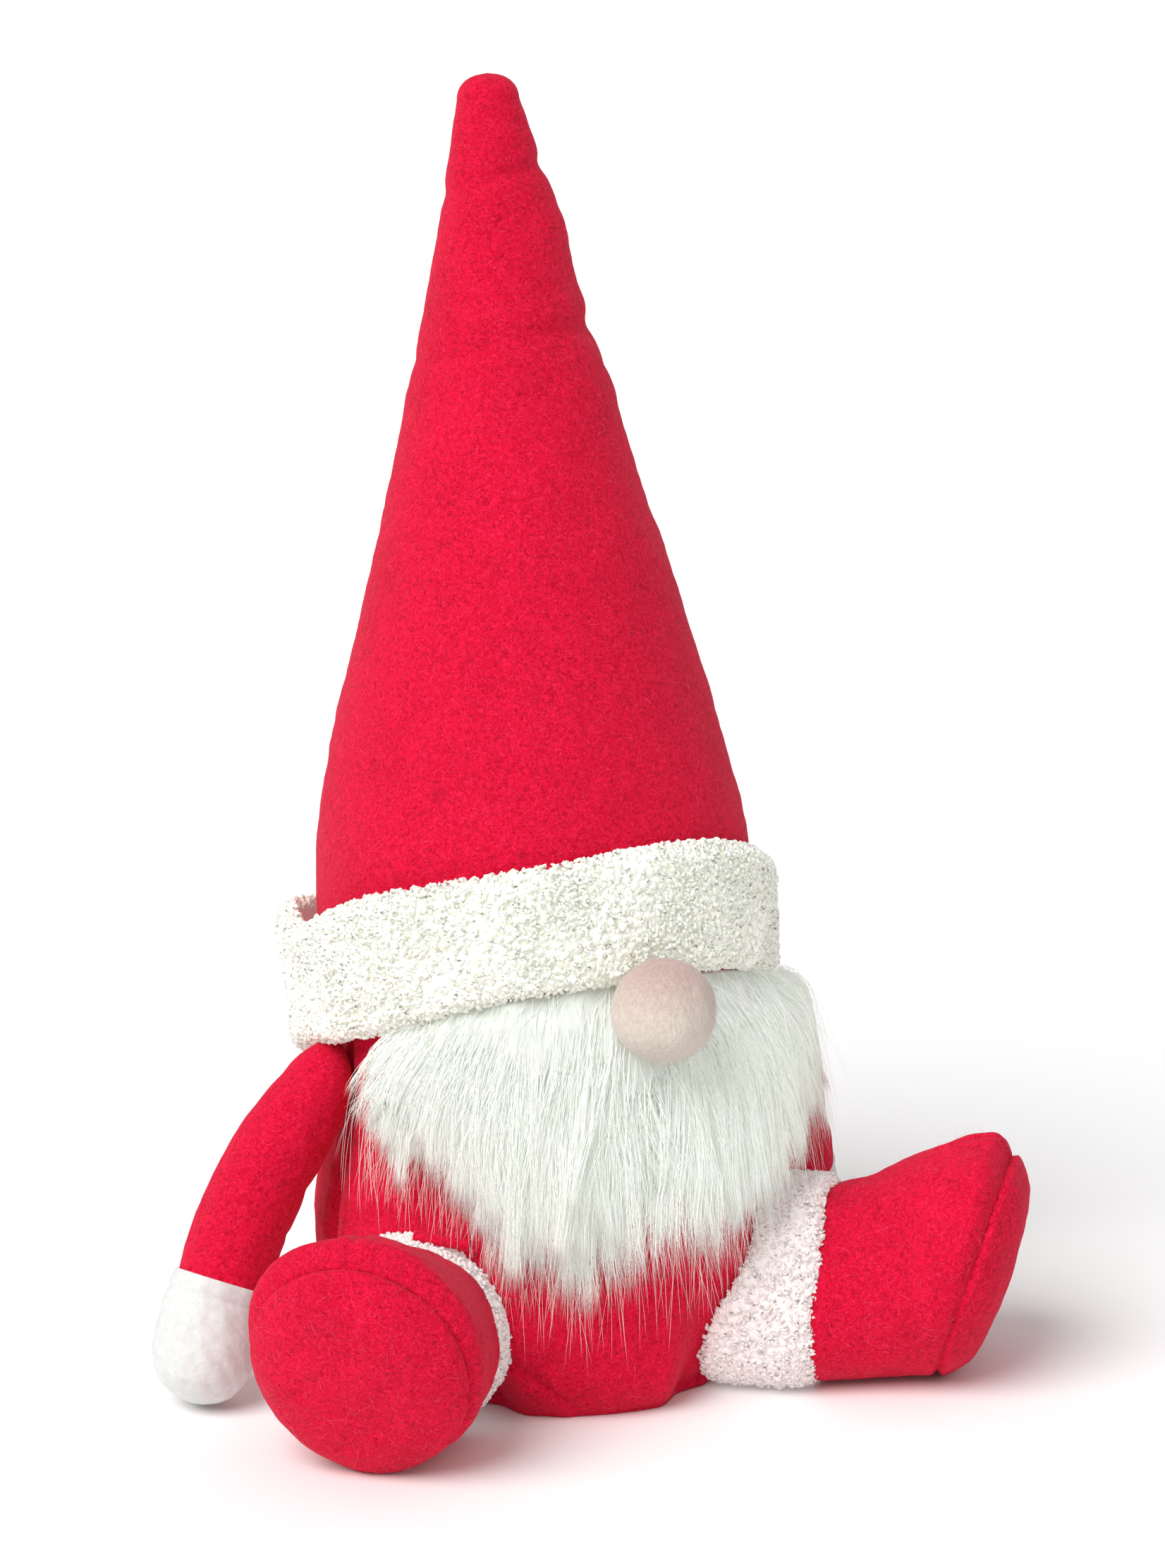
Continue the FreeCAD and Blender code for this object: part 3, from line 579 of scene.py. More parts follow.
# curls ------------------------------------------------------------------------
def curls(name, C, N, mats, seed, size=0.00100, thick=0.00078):
    """Small looped tufts of teddy cloth, one at each point."""
    r = np.random.default_rng(seed)
    n = len(C)
    a = r.normal(size=(n, 3))
    a -= (a * N).sum(1, keepdims=True) * N
    a /= np.linalg.norm(a, axis=1, keepdims=True)
    b = np.cross(N, a)
    lift = r.uniform(0.35, 1.0, n)[:, None]
    e2 = N * lift + b * np.sqrt(1 - lift ** 2)
    rad = size * r.uniform(0.7, 1.35, n)
    turn = r.uniform(1.1, 1.75, n) * PI
    start = r.uniform(0, 2 * PI, n)
    k = 7
    s = np.linspace(0, 1, k)[None]
    ang = start[:, None] + s * turn[:, None]
    grow = 1 - 0.35 * s
    side = np.cross(a, e2)
    path = (C[:, None] + N[:, None] * (size * 0.45)
            + (rad[:, None] * grow * np.cos(ang))[..., None] * a[:, None]
            + (rad[:, None] * grow * np.sin(ang))[..., None] * e2[:, None]
            + ((s - 0.5) * rad[:, None] * r.uniform(-1, 1, n)[:, None])[..., None] * side[:, None])
    shape = np.sin(np.clip(s * 0.9 + 0.12, 0, 1) * PI) ** 0.5
    radii = thick * r.uniform(0.75, 1.25, n)[:, None] * (0.45 + 0.55 * shape)
    return tubes(name, path, radii, mats, 3)


def scatter(P, N, count, gap, seed):
    """Even random choice of points out of a dense set."""
    r = np.random.default_rng(seed)
    order = r.permutation(len(P))
    cell = {}
    chosen = []
    for i in order:
        p = P[i]
        key = (int(math.floor(p[0] / gap)), int(math.floor(p[1] / gap)), int(math.floor(p[2] / gap)))
        ok = True
        for dx in (-1, 0, 1):
            for dy in (-1, 0, 1):
                for dz in (-1, 0, 1):
                    for j in cell.get((key[0] + dx, key[1] + dy, key[2] + dz), ()):
                        if ((P[j] - p) ** 2).sum() < gap * gap:
                            ok = False
                            break
                    if not ok:
                        break
                if not ok:
                    break
            if not ok:
                break
        if ok:
            cell.setdefault(key, []).append(i)
            chosen.append(i)
            if len(chosen) >= count:
                break
    return np.array(chosen)


def knobbly(G, C, gap, height):
    """Raise a surface into a rounded knob round each tuft centre."""
    tree = kdtree.KDTree(len(C))
    for i, c in enumerate(C):
        tree.insert(Vector(c), i)
    tree.balance()
    flat = G.reshape(-1, 3)
    d = np.array([tree.find(Vector(p))[2] for p in flat])
    return height * (1 - np.clip(d / gap, 0, 1.2) ** 2)


def brim_shape(nu, nv, grow=0.0):
    """Grid round the hat band; rows go round the band's cross-section."""
    phi = np.linspace(-PI, PI, nu, endpoint=False)
    back = smooth(math.radians(99), math.radians(122), np.abs(phi))
    y = -0.086 * np.cos(phi)
    bot = 0.1225 - 0.384 * y + 0.0012 * np.sin(phi * 3 + 1) - 0.001 * np.cos(phi * 5)
    top = 0.1655 - 0.384 * y + 0.0012 * np.sin(phi * 4) + 0.013 * back
    flare_top = 0.0042 * back + 0.0012 * smooth(0.2, 1.2, np.abs(phi))
    flare_bot = 0.0010 * np.sin(phi * 2 + 0.6) + 0.0015 * smooth(0.5, 1.6, -phi)
    # cross-section: outside going up, over the top, down inside
    v = np.linspace(0, 1, nv, endpoint=False)
    u_out = np.clip(v / 0.60, 0, 1)
    rows = []
    for s in v:
        if s < 0.60:
            t = s / 0.60
            h, off = t, 0.0066
            # rounded shoulders
            off -= 0.0042 * (1 - min(1, t / 0.10)) ** 2 + 0.0042 * (1 - min(1, (1 - t) / 0.10)) ** 2
            off += 0.0010 * math.sin(PI * t)
        elif s < 0.66:
            t = (s - 0.60) / 0.06
            h, off = 1.0 + 0.012 * math.sin(PI * t), 0.0024 * (1 - t) + 0.0010 * t
        elif s < 0.94:
            t = (s - 0.66) / 0.28
            h, off = 1.0 - t, 0.0008
        else:
            t = (s - 0.94) / 0.06
            h, off = -0.012 * math.sin(PI * t), 0.0008 * (1 - t) + 0.0024 * t
        z = bot + h * (top - bot)
        mid = 0.0
        r = 0.0794 + off + grow + flare_top * smooth(0.3, 1.0, h) + flare_bot * smooth(0.7, 0.0, h)
        rows.append(cyl(phi, z, r, -0.0018))
    return np.array(rows)


def outward(G):
    n = normals(G)
    flat = G.reshape(-1, 3)
    return n, flat


def brim_piece():
    G = brim_shape(760, 108)
    nrow = int(108 * 0.66)
    n = normals(G)
    mid = G.mean(0, keepdims=True)
    n *= np.sign(((G - mid) * n).sum(2, keepdims=True).mean())
    dense = G[:nrow + 2].reshape(-1, 3)
    dn = n[:nrow + 2].reshape(-1, 3)
    # no tufts in the nose
    nose_c = np.array([0, -0.0826, 0.149])
    ok = np.linalg.norm(dense - nose_c, axis=1) > 0.0185
    dense, dn = dense[ok], dn[ok]
    jit = np.random.default_rng(5).normal(size=dense.shape) * 0.0002
    pick = scatter(dense + jit, dn, 9000, 0.00275, 7)
    C, N = dense[pick], dn[pick]
    h = knobbly(G, C, 0.0018, 0.0013).reshape(G.shape[:2])
    h[nrow + 4:] *= 0.2
    base = G + n * h[..., None]
    w = wave(G.reshape(-1, 3), 0.03, 51, 2).reshape(G.shape[:2]) * 0.0007
    w[nrow:] = 0
    base = base + n * w[..., None]
    ob = skin("hat_band_cloth", base, TEDDY, ring=True)
    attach(ob, "torso")
    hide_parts("hat_brim")
    more = scatter(dense + jit * 3, dn, 12000, 0.00165, 27)
    C, N = dense[more], dn[more]
    front = C[:, 1] < 0.0
    for label, sel, seed in (("hat_band_curls_front", front, 8), ("hat_band_curls_back", ~front, 9)):
        c = curls(label, C[sel] + N[sel] * 0.0003, N[sel], TEDDY, seed)
        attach(c, "torso")


# nose ---------------------------------------------------------------------------
def nose_piece():
    nu, nv = 180, 110
    c = np.array([0.0, -0.0826, 0.149])
    th = np.linspace(0.03, PI - 0.03, nv)[:, None]
    ph = np.linspace(0, 2 * PI, nu, endpoint=False)[None]
    D = np.stack([np.sin(th) * np.cos(ph), np.sin(th) * np.sin(ph), np.cos(th) + 0 * ph], -1)
    flat = D.reshape(-1, 3)
    r = 0.0182 + 0.00045 * wave(flat * 0.0183, 0.022, 61, 2)
    streak = flat * 0.0183 * np.array([1, 1, 0.3])
    r = r + 0.00013 * wave(streak, 0.0016, 62, 2)
    r = r * (1 - 0.03 * np.clip(-flat[:, 2], 0, 1) ** 2)
    G = (c + flat * r[:, None]).reshape(D.shape)[::-1]
    ob = skin("nose_ball", G, NOSE, first=c - [0, 0, 0.0176], last=c + [0, 0, 0.0182])
    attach(ob, "torso")
    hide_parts("nose_cover")
    r2 = np.random.default_rng(63)
    n = 1500
    d = r2.normal(size=(n, 3))
    d /= np.linalg.norm(d, axis=1, keepdims=True)
    d = d[d[:, 1] < 0.45]
    n = len(d)
    root = c + d * 0.0180
    lay = np.cross(d, r2.normal(size=(n, 3)))
    lay /= np.linalg.norm(lay, axis=1, keepdims=True)
    s = np.linspace(0, 1, 5)[None, :, None]
    L = r2.uniform(0.0012, 0.0032, n)[:, None, None]
    path = root[:, None] + d[:, None] * L * (0.35 * s - 0.12 * s * s) + lay[:, None] * L * s
    rad = np.linspace(0.00004, 0.00001, 5)[None] * np.ones((n, 1))
    f = tubes("nose_fibres", path, rad, fur("nose_fluff", (0.85, 0.70, 0.64), (0.92, 0.82, 0.77), 0.7))
    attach(f, "torso")


# beard --------------------------------------------------------------------------
def beard_pieces():
    r = np.random.default_rng(71)
    lo, hi = math.radians(-63), math.radians(76)

    def root_top(phi):
        return 0.1215 + 0.384 * 0.080 * np.cos(phi)

    # the pile's own body, under the long hair
    nu, nv = 120, 64
    phi = np.linspace(lo + 0.12, hi - 0.12, nu)
    t = np.linspace(0, 1, nv)
    P, T = np.meshgrid(phi, t)
    mid = math.radians(-2)
    side = np.clip(np.abs((P - mid) / ((hi - lo) / 2)), 0, 1)
    low = 0.094 + 0.022 * side ** 2
    Z = root_top(P) + 0.002 + T * (low - root_top(P) - 0.002)
    bulge = 0.0145 * np.sin(PI * np.clip(T * 0.92 + 0.10, 0, 1)) ** 0.7 * (1 - side ** 4)
    R = at(BODY, Z) + 0.0008 + bulge
    out = cyl(P, Z, R)
    nose_c = np.array([0, -0.0826, 0.149])
    dv = out - nose_c
    dist = np.linalg.norm(dv, axis=2)
    inside = dist < 0.0200
    # keep clear of the nose: draw in towards the body
    shift = np.where(inside, 0.0200 - dist, 0)
    out[..., 1] += shift * 1.3
    flat = out.reshape(-1, 3)
    out = (flat + (flat - axis(flat[:, 2])) * (0.012 * wave(flat, 0.018, 72, 2))[:, None]).reshape(out.shape)
    inn = cyl(P, Z, at(BODY, Z) + 0.0003)
    m = nu * nv
    V = np.concatenate([out.reshape(-1, 3), inn.reshape(-1, 3)])
    idx = np.arange(m).reshape(nv, nu)
    q1 = np.stack([idx[1:, :-1], idx[1:, 1:], idx[:-1, 1:], idx[:-1, :-1]], -1).reshape(-1, 4)
    q2 = (q1 + m)[:, ::-1]
    e = []
    for line, rev in ((idx[0], True), (idx[-1], False), (idx[:, 0], False), (idx[:, -1], True)):
        a0, b0 = line[:-1], line[1:]
        qq = np.stack([b0, a0, a0 + m, b0 + m], 1)
        e.append(qq[:, ::-1] if rev else qq)
    Q = np.concatenate([q1, q2] + e)
    base = mesh("beard_backing", V, Q.ravel(), np.full(len(Q), 4), BEARD_BASE)
    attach(base, "torso")
    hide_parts("beard")

    def roots(n):
        p = lo + (hi - lo) * r.uniform(0, 1, n)
        u = r.uniform(0, 1, n) ** 1.15
        sd = np.clip(np.abs((p - mid) / ((hi - lo) / 2)), 0, 1)
        span = 0.052 - 0.020 * sd ** 2
        z = root_top(p) + 0.003 - u * span
        return p, z, u, sd

    def grow(p, z, u, length, steps, wild, r):
        """Hair by hair: out from the cloth, then over and down."""
        n = len(p)
        nrm = np.stack([np.sin(p), -np.cos(p), np.zeros(n)], 1)
        tan = np.stack([np.cos(p), np.sin(p), np.zeros(n)], 1)
        pos = cyl(p, z, at(BODY, z) + 0.001 + 0.009 * np.sin(PI * np.clip(u * 0.8 + 0.1, 0, 1)))
        nose_d = p * 0.082
        part = np.exp(-(nose_d / 0.024) ** 2) * (z > 0.118)
        sidew = 0.75 * np.sin(p * 1.25) + 0.9 * part * np.sign(nose_d + r.normal(size=n) * 0.003)
        right = 1.35 * smooth(math.radians(34), math.radians(72), p)
        left = smooth(math.radians(-35), math.radians(-62), p)
        sidew = sidew + 0.9 * right - 0.45 * left
        d = (nrm * (0.62 - 0.25 * u + 0.25 * right)[:, None] + tan * (0.55 * sidew)[:, None]
             + np.array([0, 0, -1.0]) * (0.62 + 0.35 * u - 0.35 * right * (1 - u))[:, None]
             + r.normal(size=(n, 3)) * (0.10 + wild))
        d /= np.linalg.norm(d, axis=1, keepdims=True)
        path = [pos]
        step = length / (steps - 1)
        curl = r.normal(size=(n, 3)) * (0.10 + 0.6 * wild)
        for i in range(1, steps):
            g = 0.26 + 0.05 * i
            d = d + np.array([0, 0, -1.0]) * (g * (1 - 0.45 * right))[:, None] + curl * 0.35 + nrm * 0.02
            d /= np.linalg.norm(d, axis=1, keepdims=True)
            q = path[-1] + d * step[:, None]
            # stay outside the body, the nose and the floor
            a = axis(q[:, 2])
            w = q - a
            w[:, 2] = 0
            ln = np.linalg.norm(w, axis=1)
            need = at(BODY, q[:, 2]) + 0.0016
            short = np.clip(need - ln, 0, None)
            q = q + w / (ln[:, None] + 1e-9) * short[:, None]
            dn = q - nose_c
            l2 = np.linalg.norm(dn, axis=1)
            q = q + dn / l2[:, None] * np.clip(0.0192 - l2, 0, None)[:, None]
            path.append(q)
        return np.stack(path, 1)

    hem_x = np.radians([-95, -81, -68, -55, -44, -30, -20, -7, 7, 21, 38, 52, 75, 95])
    hem_z = np.array([112, 107, 104, 97, 80, 51, 57, 56, 64, 67, 78, 92, 103, 108]) / 1000

    def trimmed(path, slack):
        """Cut each hair off where it passes the beard's lower edge."""
        k = path.shape[1]
        ph_ = np.arctan2(path[..., 0], -(path[..., 1] - K * path[..., 2]))
        over = path[..., 2] - (np.interp(ph_, hem_x, hem_z) + slack[:, None])
        past = over < 0
        first = np.where(past.any(1), np.argmax(past, 1), k - 1)
        first = np.maximum(first, 2)
        n = np.arange(len(path))
        o1, o0 = over[n, first], over[n, first - 1]
        f = np.where(past.any(1) & (o0 > 0), o0 / (o0 - o1 + 1e-12), 1.0)
        end = np.clip(first - 1 + f, 1.5, k - 1)
        q = np.linspace(0, 1, k)[None] * end[:, None]
        i = np.minimum(q.astype(int), k - 2)
        w = (q - i)[..., None]
        return path[n[:, None], i] * (1 - w) + path[n[:, None], i + 1] * w

    def drawn_in(path):
        q = path.copy()
        dx, dy = q[..., 0], q[..., 1] - K * q[..., 2]
        ln = np.hypot(dx, dy) + 1e-9
        lim = 0.099 - 0.005 * smooth(0.6, 1.5, np.abs(np.arctan2(dx, -dy)))
        new = np.where(ln > lim, lim + (ln - lim) * 0.35, ln)
        q[..., 0] = dx / ln * new
        q[..., 1] = dy / ln * new + K * q[..., 2]
        return q

    steps = 8
    ng = 300
    gp, gz, gu, gs = roots(ng)
    gl = (0.100 - 0.030 * gs - 0.012 * gu) * r.uniform(0.9, 1.1, ng)
    guides = grow(gp, gz, gu, gl, steps, 0.13, r)
    clump = r.normal(size=ng) * 0.0070
    guides = trimmed(guides, clump)
    key_g = np.stack([gp * 0.08, gz], 1)
    total = 13500
    p, z, u, sd = roots(total)
    L = (0.098 - 0.030 * sd - 0.013 * u) * r.uniform(0.85, 1.12, total)
    hair = grow(p, z, u, L, steps, 0.035, r)
    key = np.stack([p * 0.08, z], 1)
    d2 = ((key[:, None] - key_g[None]) ** 2).sum(2)
    near = np.argmin(d2 + r.uniform(0, 1, d2.shape) * 1.0e-5, 1)
    hair = trimmed(hair, clump[near] + r.normal(size=total) * 0.0055)
    s = np.linspace(0, 1, steps)
    pull = (0.88 * smooth(0.0, 0.9, s))[None, :, None] * r.uniform(0.55, 1.05, total)[:, None, None]
    hair = hair + (guides[near] - hair) * pull
    # locks wave a little from side to side
    ph0 = r.uniform(0, 2 * PI, ng)[near][:, None]
    arc = s[None] * np.linalg.norm(hair[:, -1] - hair[:, 0], axis=1)[:, None]
    sway = np.sin(arc * (2 * PI / r.uniform(0.030, 0.055, ng)[near][:, None]) + ph0) - np.sin(ph0)
    tp = np.arctan2(hair[..., 0], -(hair[..., 1] - K * hair[..., 2]))
    amp = (r.uniform(0.0006, 0.0022, ng)[near][:, None] * s[None])
    hair[..., 0] += np.cos(tp) * sway * amp
    hair[..., 1] += np.sin(tp) * sway * amp
    hair += np.cumsum(r.normal(size=hair.shape), 1) * 0.00030 * s[None, :, None]
    hair = drawn_in(hair)
    width = np.array([1.0, 1.0, 1.0, 0.94, 0.84, 0.68, 0.45, 0.1])[None] * 0.000155
    radii = width * r.uniform(0.7, 1.25, total)[:, None]
    for i in range(4):
        sel = slice(i * total // 4, (i + 1) * total // 4)
        ob = tubes("beard_hair_%d" % (i + 1), hair[sel], radii[sel], BEARD)
        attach(ob, "torso")
    # loose single hairs that fall over the belly
    n = 1500
    p, z, u, sd = roots(n)
    u = 0.5 + 0.5 * u
    L = (0.102 - 0.026 * sd) * r.uniform(0.75, 1.2, n)
    stray = drawn_in(trimmed(grow(p, z, u, L, 12, 0.24, r), -0.002 - 0.034 * r.uniform(0, 1, n) ** 1.6))
    rad = np.linspace(1.0, 0.35, 12)[None] * 0.00010 * np.ones((n, 1))
    ob = tubes("beard_stray_hair", stray, rad, BEARD)
    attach(ob, "torso")


# limbs --------------------------------------------------------------------------
def swept(path, radius, nu, squash_y=1.0):
    """Round tube about a path; rows along it. Returns grid."""
    d = np.gradient(path, axis=0)
    d /= np.linalg.norm(d, axis=1, keepdims=True)
    ref = np.array([0.0, 1.0, 0.0])
    a = np.cross(d, ref)
    a /= np.linalg.norm(a, axis=1, keepdims=True)
    b = np.cross(d, a)
    ph = np.linspace(0, 2 * PI, nu, endpoint=False)
    return (path[:, None] + radius[:, None, None] * (np.cos(ph)[None, :, None] * a[:, None]
                                                     + squash_y * np.sin(ph)[None, :, None] * b[:, None]))


def arm_pieces(side, sx):
    body = side + "_arm"
    sh = np.array([sx * 0.0892, 0.015, 0.105])
    d = np.array([-57.0, -19.0, -103.6]) if sx < 0 else np.array([38.0, 46.0, -103.6])
    d /= np.linalg.norm(d)
    out = np.array([sx, 0, 0.0])
    out -= d * out.dot(d)
    out /= np.linalg.norm(out)
    L = 0.1184
    bow_t = np.array([-0.10, 0.0, 0.10, 0.22, 0.36, 0.50, 0.64, 0.76, 0.88, 1.0])
    bow_v = np.array([0.0, 0.0, 0.36, 0.74, 0.97, 1.0, 0.88, 0.68, 0.38, 0.05])
    amount = 0.0078 if sx < 0 else 0.004

    def pt(s):
        t = s / L
        return sh + d * s[:, None] + out * (np.interp(t, bow_t, bow_v) * amount)[:, None] if np.ndim(s) else None

    def smooth_path(s):
        fine = np.linspace(-0.02, L + 0.005, 400)
        q = pt(fine)
        k = np.exp(-0.5 * (np.arange(-30, 31) / 14.0) ** 2)
        k /= k.sum()
        pad = np.concatenate([q[:1] + (q[:1] - q[30:0:-1]), q, q[-1:] + (q[-1:] - q[-2:-32:-1])])
        q = np.stack([np.convolve(pad[:, i], k, "valid") for i in range(3)], 1)
        return np.stack([np.interp(s, fine, q[:, i]) for i in range(3)], 1)

    nu = 120
    # sleeve: rounded top, soft wrinkles at elbow and under the arm
    s = np.concatenate([-0.0195 * np.cos(np.linspace(0.10, PI / 2, 22)), np.linspace(0.0012, 0.0785, 110)])
    rr = np.interp(s, [-0.0195, -0.017, -0.014, -0.010, -0.006, -0.003, 0, 0.009, 0.024, 0.048, 0.066, 0.08],
                   [0.0016, 0.0050, 0.0076, 0.0102, 0.0119, 0.0126, 0.0131, 0.0145, 0.0161, 0.0165, 0.0169, 0.0166])
    P = smooth_path(s)
    G = swept(P, rr, nu)
    flat = G.reshape(-1, 3)
    n = flat - np.repeat(P, nu, 0)
    n /= np.linalg.norm(n, axis=1, keepdims=True) + 1e-9
    along = np.repeat(s, nu)
    ang = np.tile(np.linspace(0, 2 * PI, nu, endpoint=False), len(s))
    dd = 0.0006 * wave(flat, 0.035, 81 + sx, 2) + 0.00018 * wave(flat, 0.009, 82, 2)
    dd -= 0.0007 * np.exp(-((along - 0.030 - 0.004 * np.sin(ang)) / 0.0024) ** 2) * np.clip(-(n @ out), 0, 1)
    dd -= 0.0006 * np.exp(-((along - 0.052 + 0.003 * np.sin(ang)) / 0.0022) ** 2) * np.clip(-(n @ out), 0, 1)
    seam = np.exp(-((ang - 1.45 * PI) * 0.016 / 0.0011) ** 2)
    dd -= 0.0009 * seam * smooth(0, 0.01, along)
    fade = smooth(-0.016, 0.004, along)
    G = (flat + n * (dd * fade)[:, None]).reshape(G.shape)
    # wrist edge turned in
    end = G[-1]
    c = end.mean(0)
    roll = [c + (end - c) * f + d * g for f, g in ((0.985, 0.0006), (0.94, 0.0008), (0.86, 0.0002), (0.84, -0.003))]
    G = np.concatenate([G, np.array(roll)])
    ob = skin(side + "_sleeve_felt", G[::-1], FELT, first=G[-1].mean(0), last=G[0].mean(0))
    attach(ob, body)
    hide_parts(side + "_sleeve")
    # mitten: soft sock over the sleeve's end
    t = np.linspace(0, 1, 70)
    s = 0.0748 + t * (0.1176 - 0.0748)
    prof = np.interp(t, [0, 0.04, 0.12, 0.3, 0.5, 0.66, 0.8, 0.9, 0.96, 1.0],
                     [0.0172, 0.0177, 0.0176, 0.0181, 0.0185, 0.0180, 0.0160, 0.0128, 0.0092, 0.0040])
    P = smooth_path(s)
    G = swept(P, prof, nu)
    flat = G.reshape(-1, 3)
    n = flat - np.repeat(P, nu, 0)
    n /= np.linalg.norm(n, axis=1, keepdims=True) + 1e-9
    tt = np.repeat(t, nu)
    dd = (0.0004 * wave(flat, 0.026, 91, 2) + 0.0002 * wave(flat, 0.006, 92, 2)) * smooth(1.0, 0.8, tt)
    dd -= 0.0006 * np.exp(-((tt - 0.14) / 0.025) ** 2)
    G = (flat + n * dd[:, None]).reshape(G.shape)
    start = G[0]
    c = start.mean(0)
    lip = [c + (start - c) * f + d * g for f, g in ((0.90, 0.0035), (0.93, 0.0003), (0.965, -0.0004), (0.99, -0.0003))]
    G = np.concatenate([np.array(lip), G])
    G[..., 2] = np.maximum(G[..., 2], 0.0004)
    tip = smooth_path(np.array([0.1182]))[0]
    tip[2] = max(tip[2], 0.0004)
    # stuffing inside both, along the same line
    sf = np.concatenate([-0.0094 * np.cos(np.linspace(0.12, PI / 2, 12)), np.linspace(0.002, 0.1148, 80)])
    rf = np.where(sf < 0, 0.0097 * np.sqrt(np.clip(1 - (sf / 0.0096) ** 2, 0.005, 1)),
                  np.interp(sf, [0, 0.009, 0.024, 0.048, 0.066, 0.080, 0.087, 0.096, 0.103, 0.109, 0.113, 0.1148],
                            [0.0097, 0.0115, 0.0132, 0.0137, 0.0140, 0.0142, 0.0148, 0.0152, 0.0146, 0.0118, 0.0078, 0.0030]))
    Pf = smooth_path(sf)
    Gf = swept(Pf, rf, 48)
    Gf[..., 2] = np.maximum(Gf[..., 2], 0.003)
    fl = skin(side + "_arm_stuffing", Gf[::-1], FILL, first=Gf[-1].mean(0), last=Gf[0].mean(0))
    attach(fl, body)
    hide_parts(side + "_arm_filling")
    ob = skin(side + "_mitten_velour", G[::-1], MITT, first=tip, last=G[0].mean(0))
    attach(ob, body)
    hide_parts(side + "_mitten")


def leg_frame(sx):
    """Direction of a leg, and a shift that keeps the sole where it rests.
    The right leg points further forward and starts further to the side."""
    a = math.radians(53.4)
    fwd = np.array([sx * math.sin(a), -math.cos(a), 0.0])
    sole = fwd * 0.150
    if sx < 0:
        a = math.radians(53.4 - 12.0)
        fwd = np.array([-math.sin(a), -math.cos(a), 0.0])
        sole = sole + np.array([0.0018, -0.0014, 0.0])
    lat = np.array([math.cos(a), sx * math.sin(a), 0.0])
    return fwd, lat, sole - fwd * 0.150


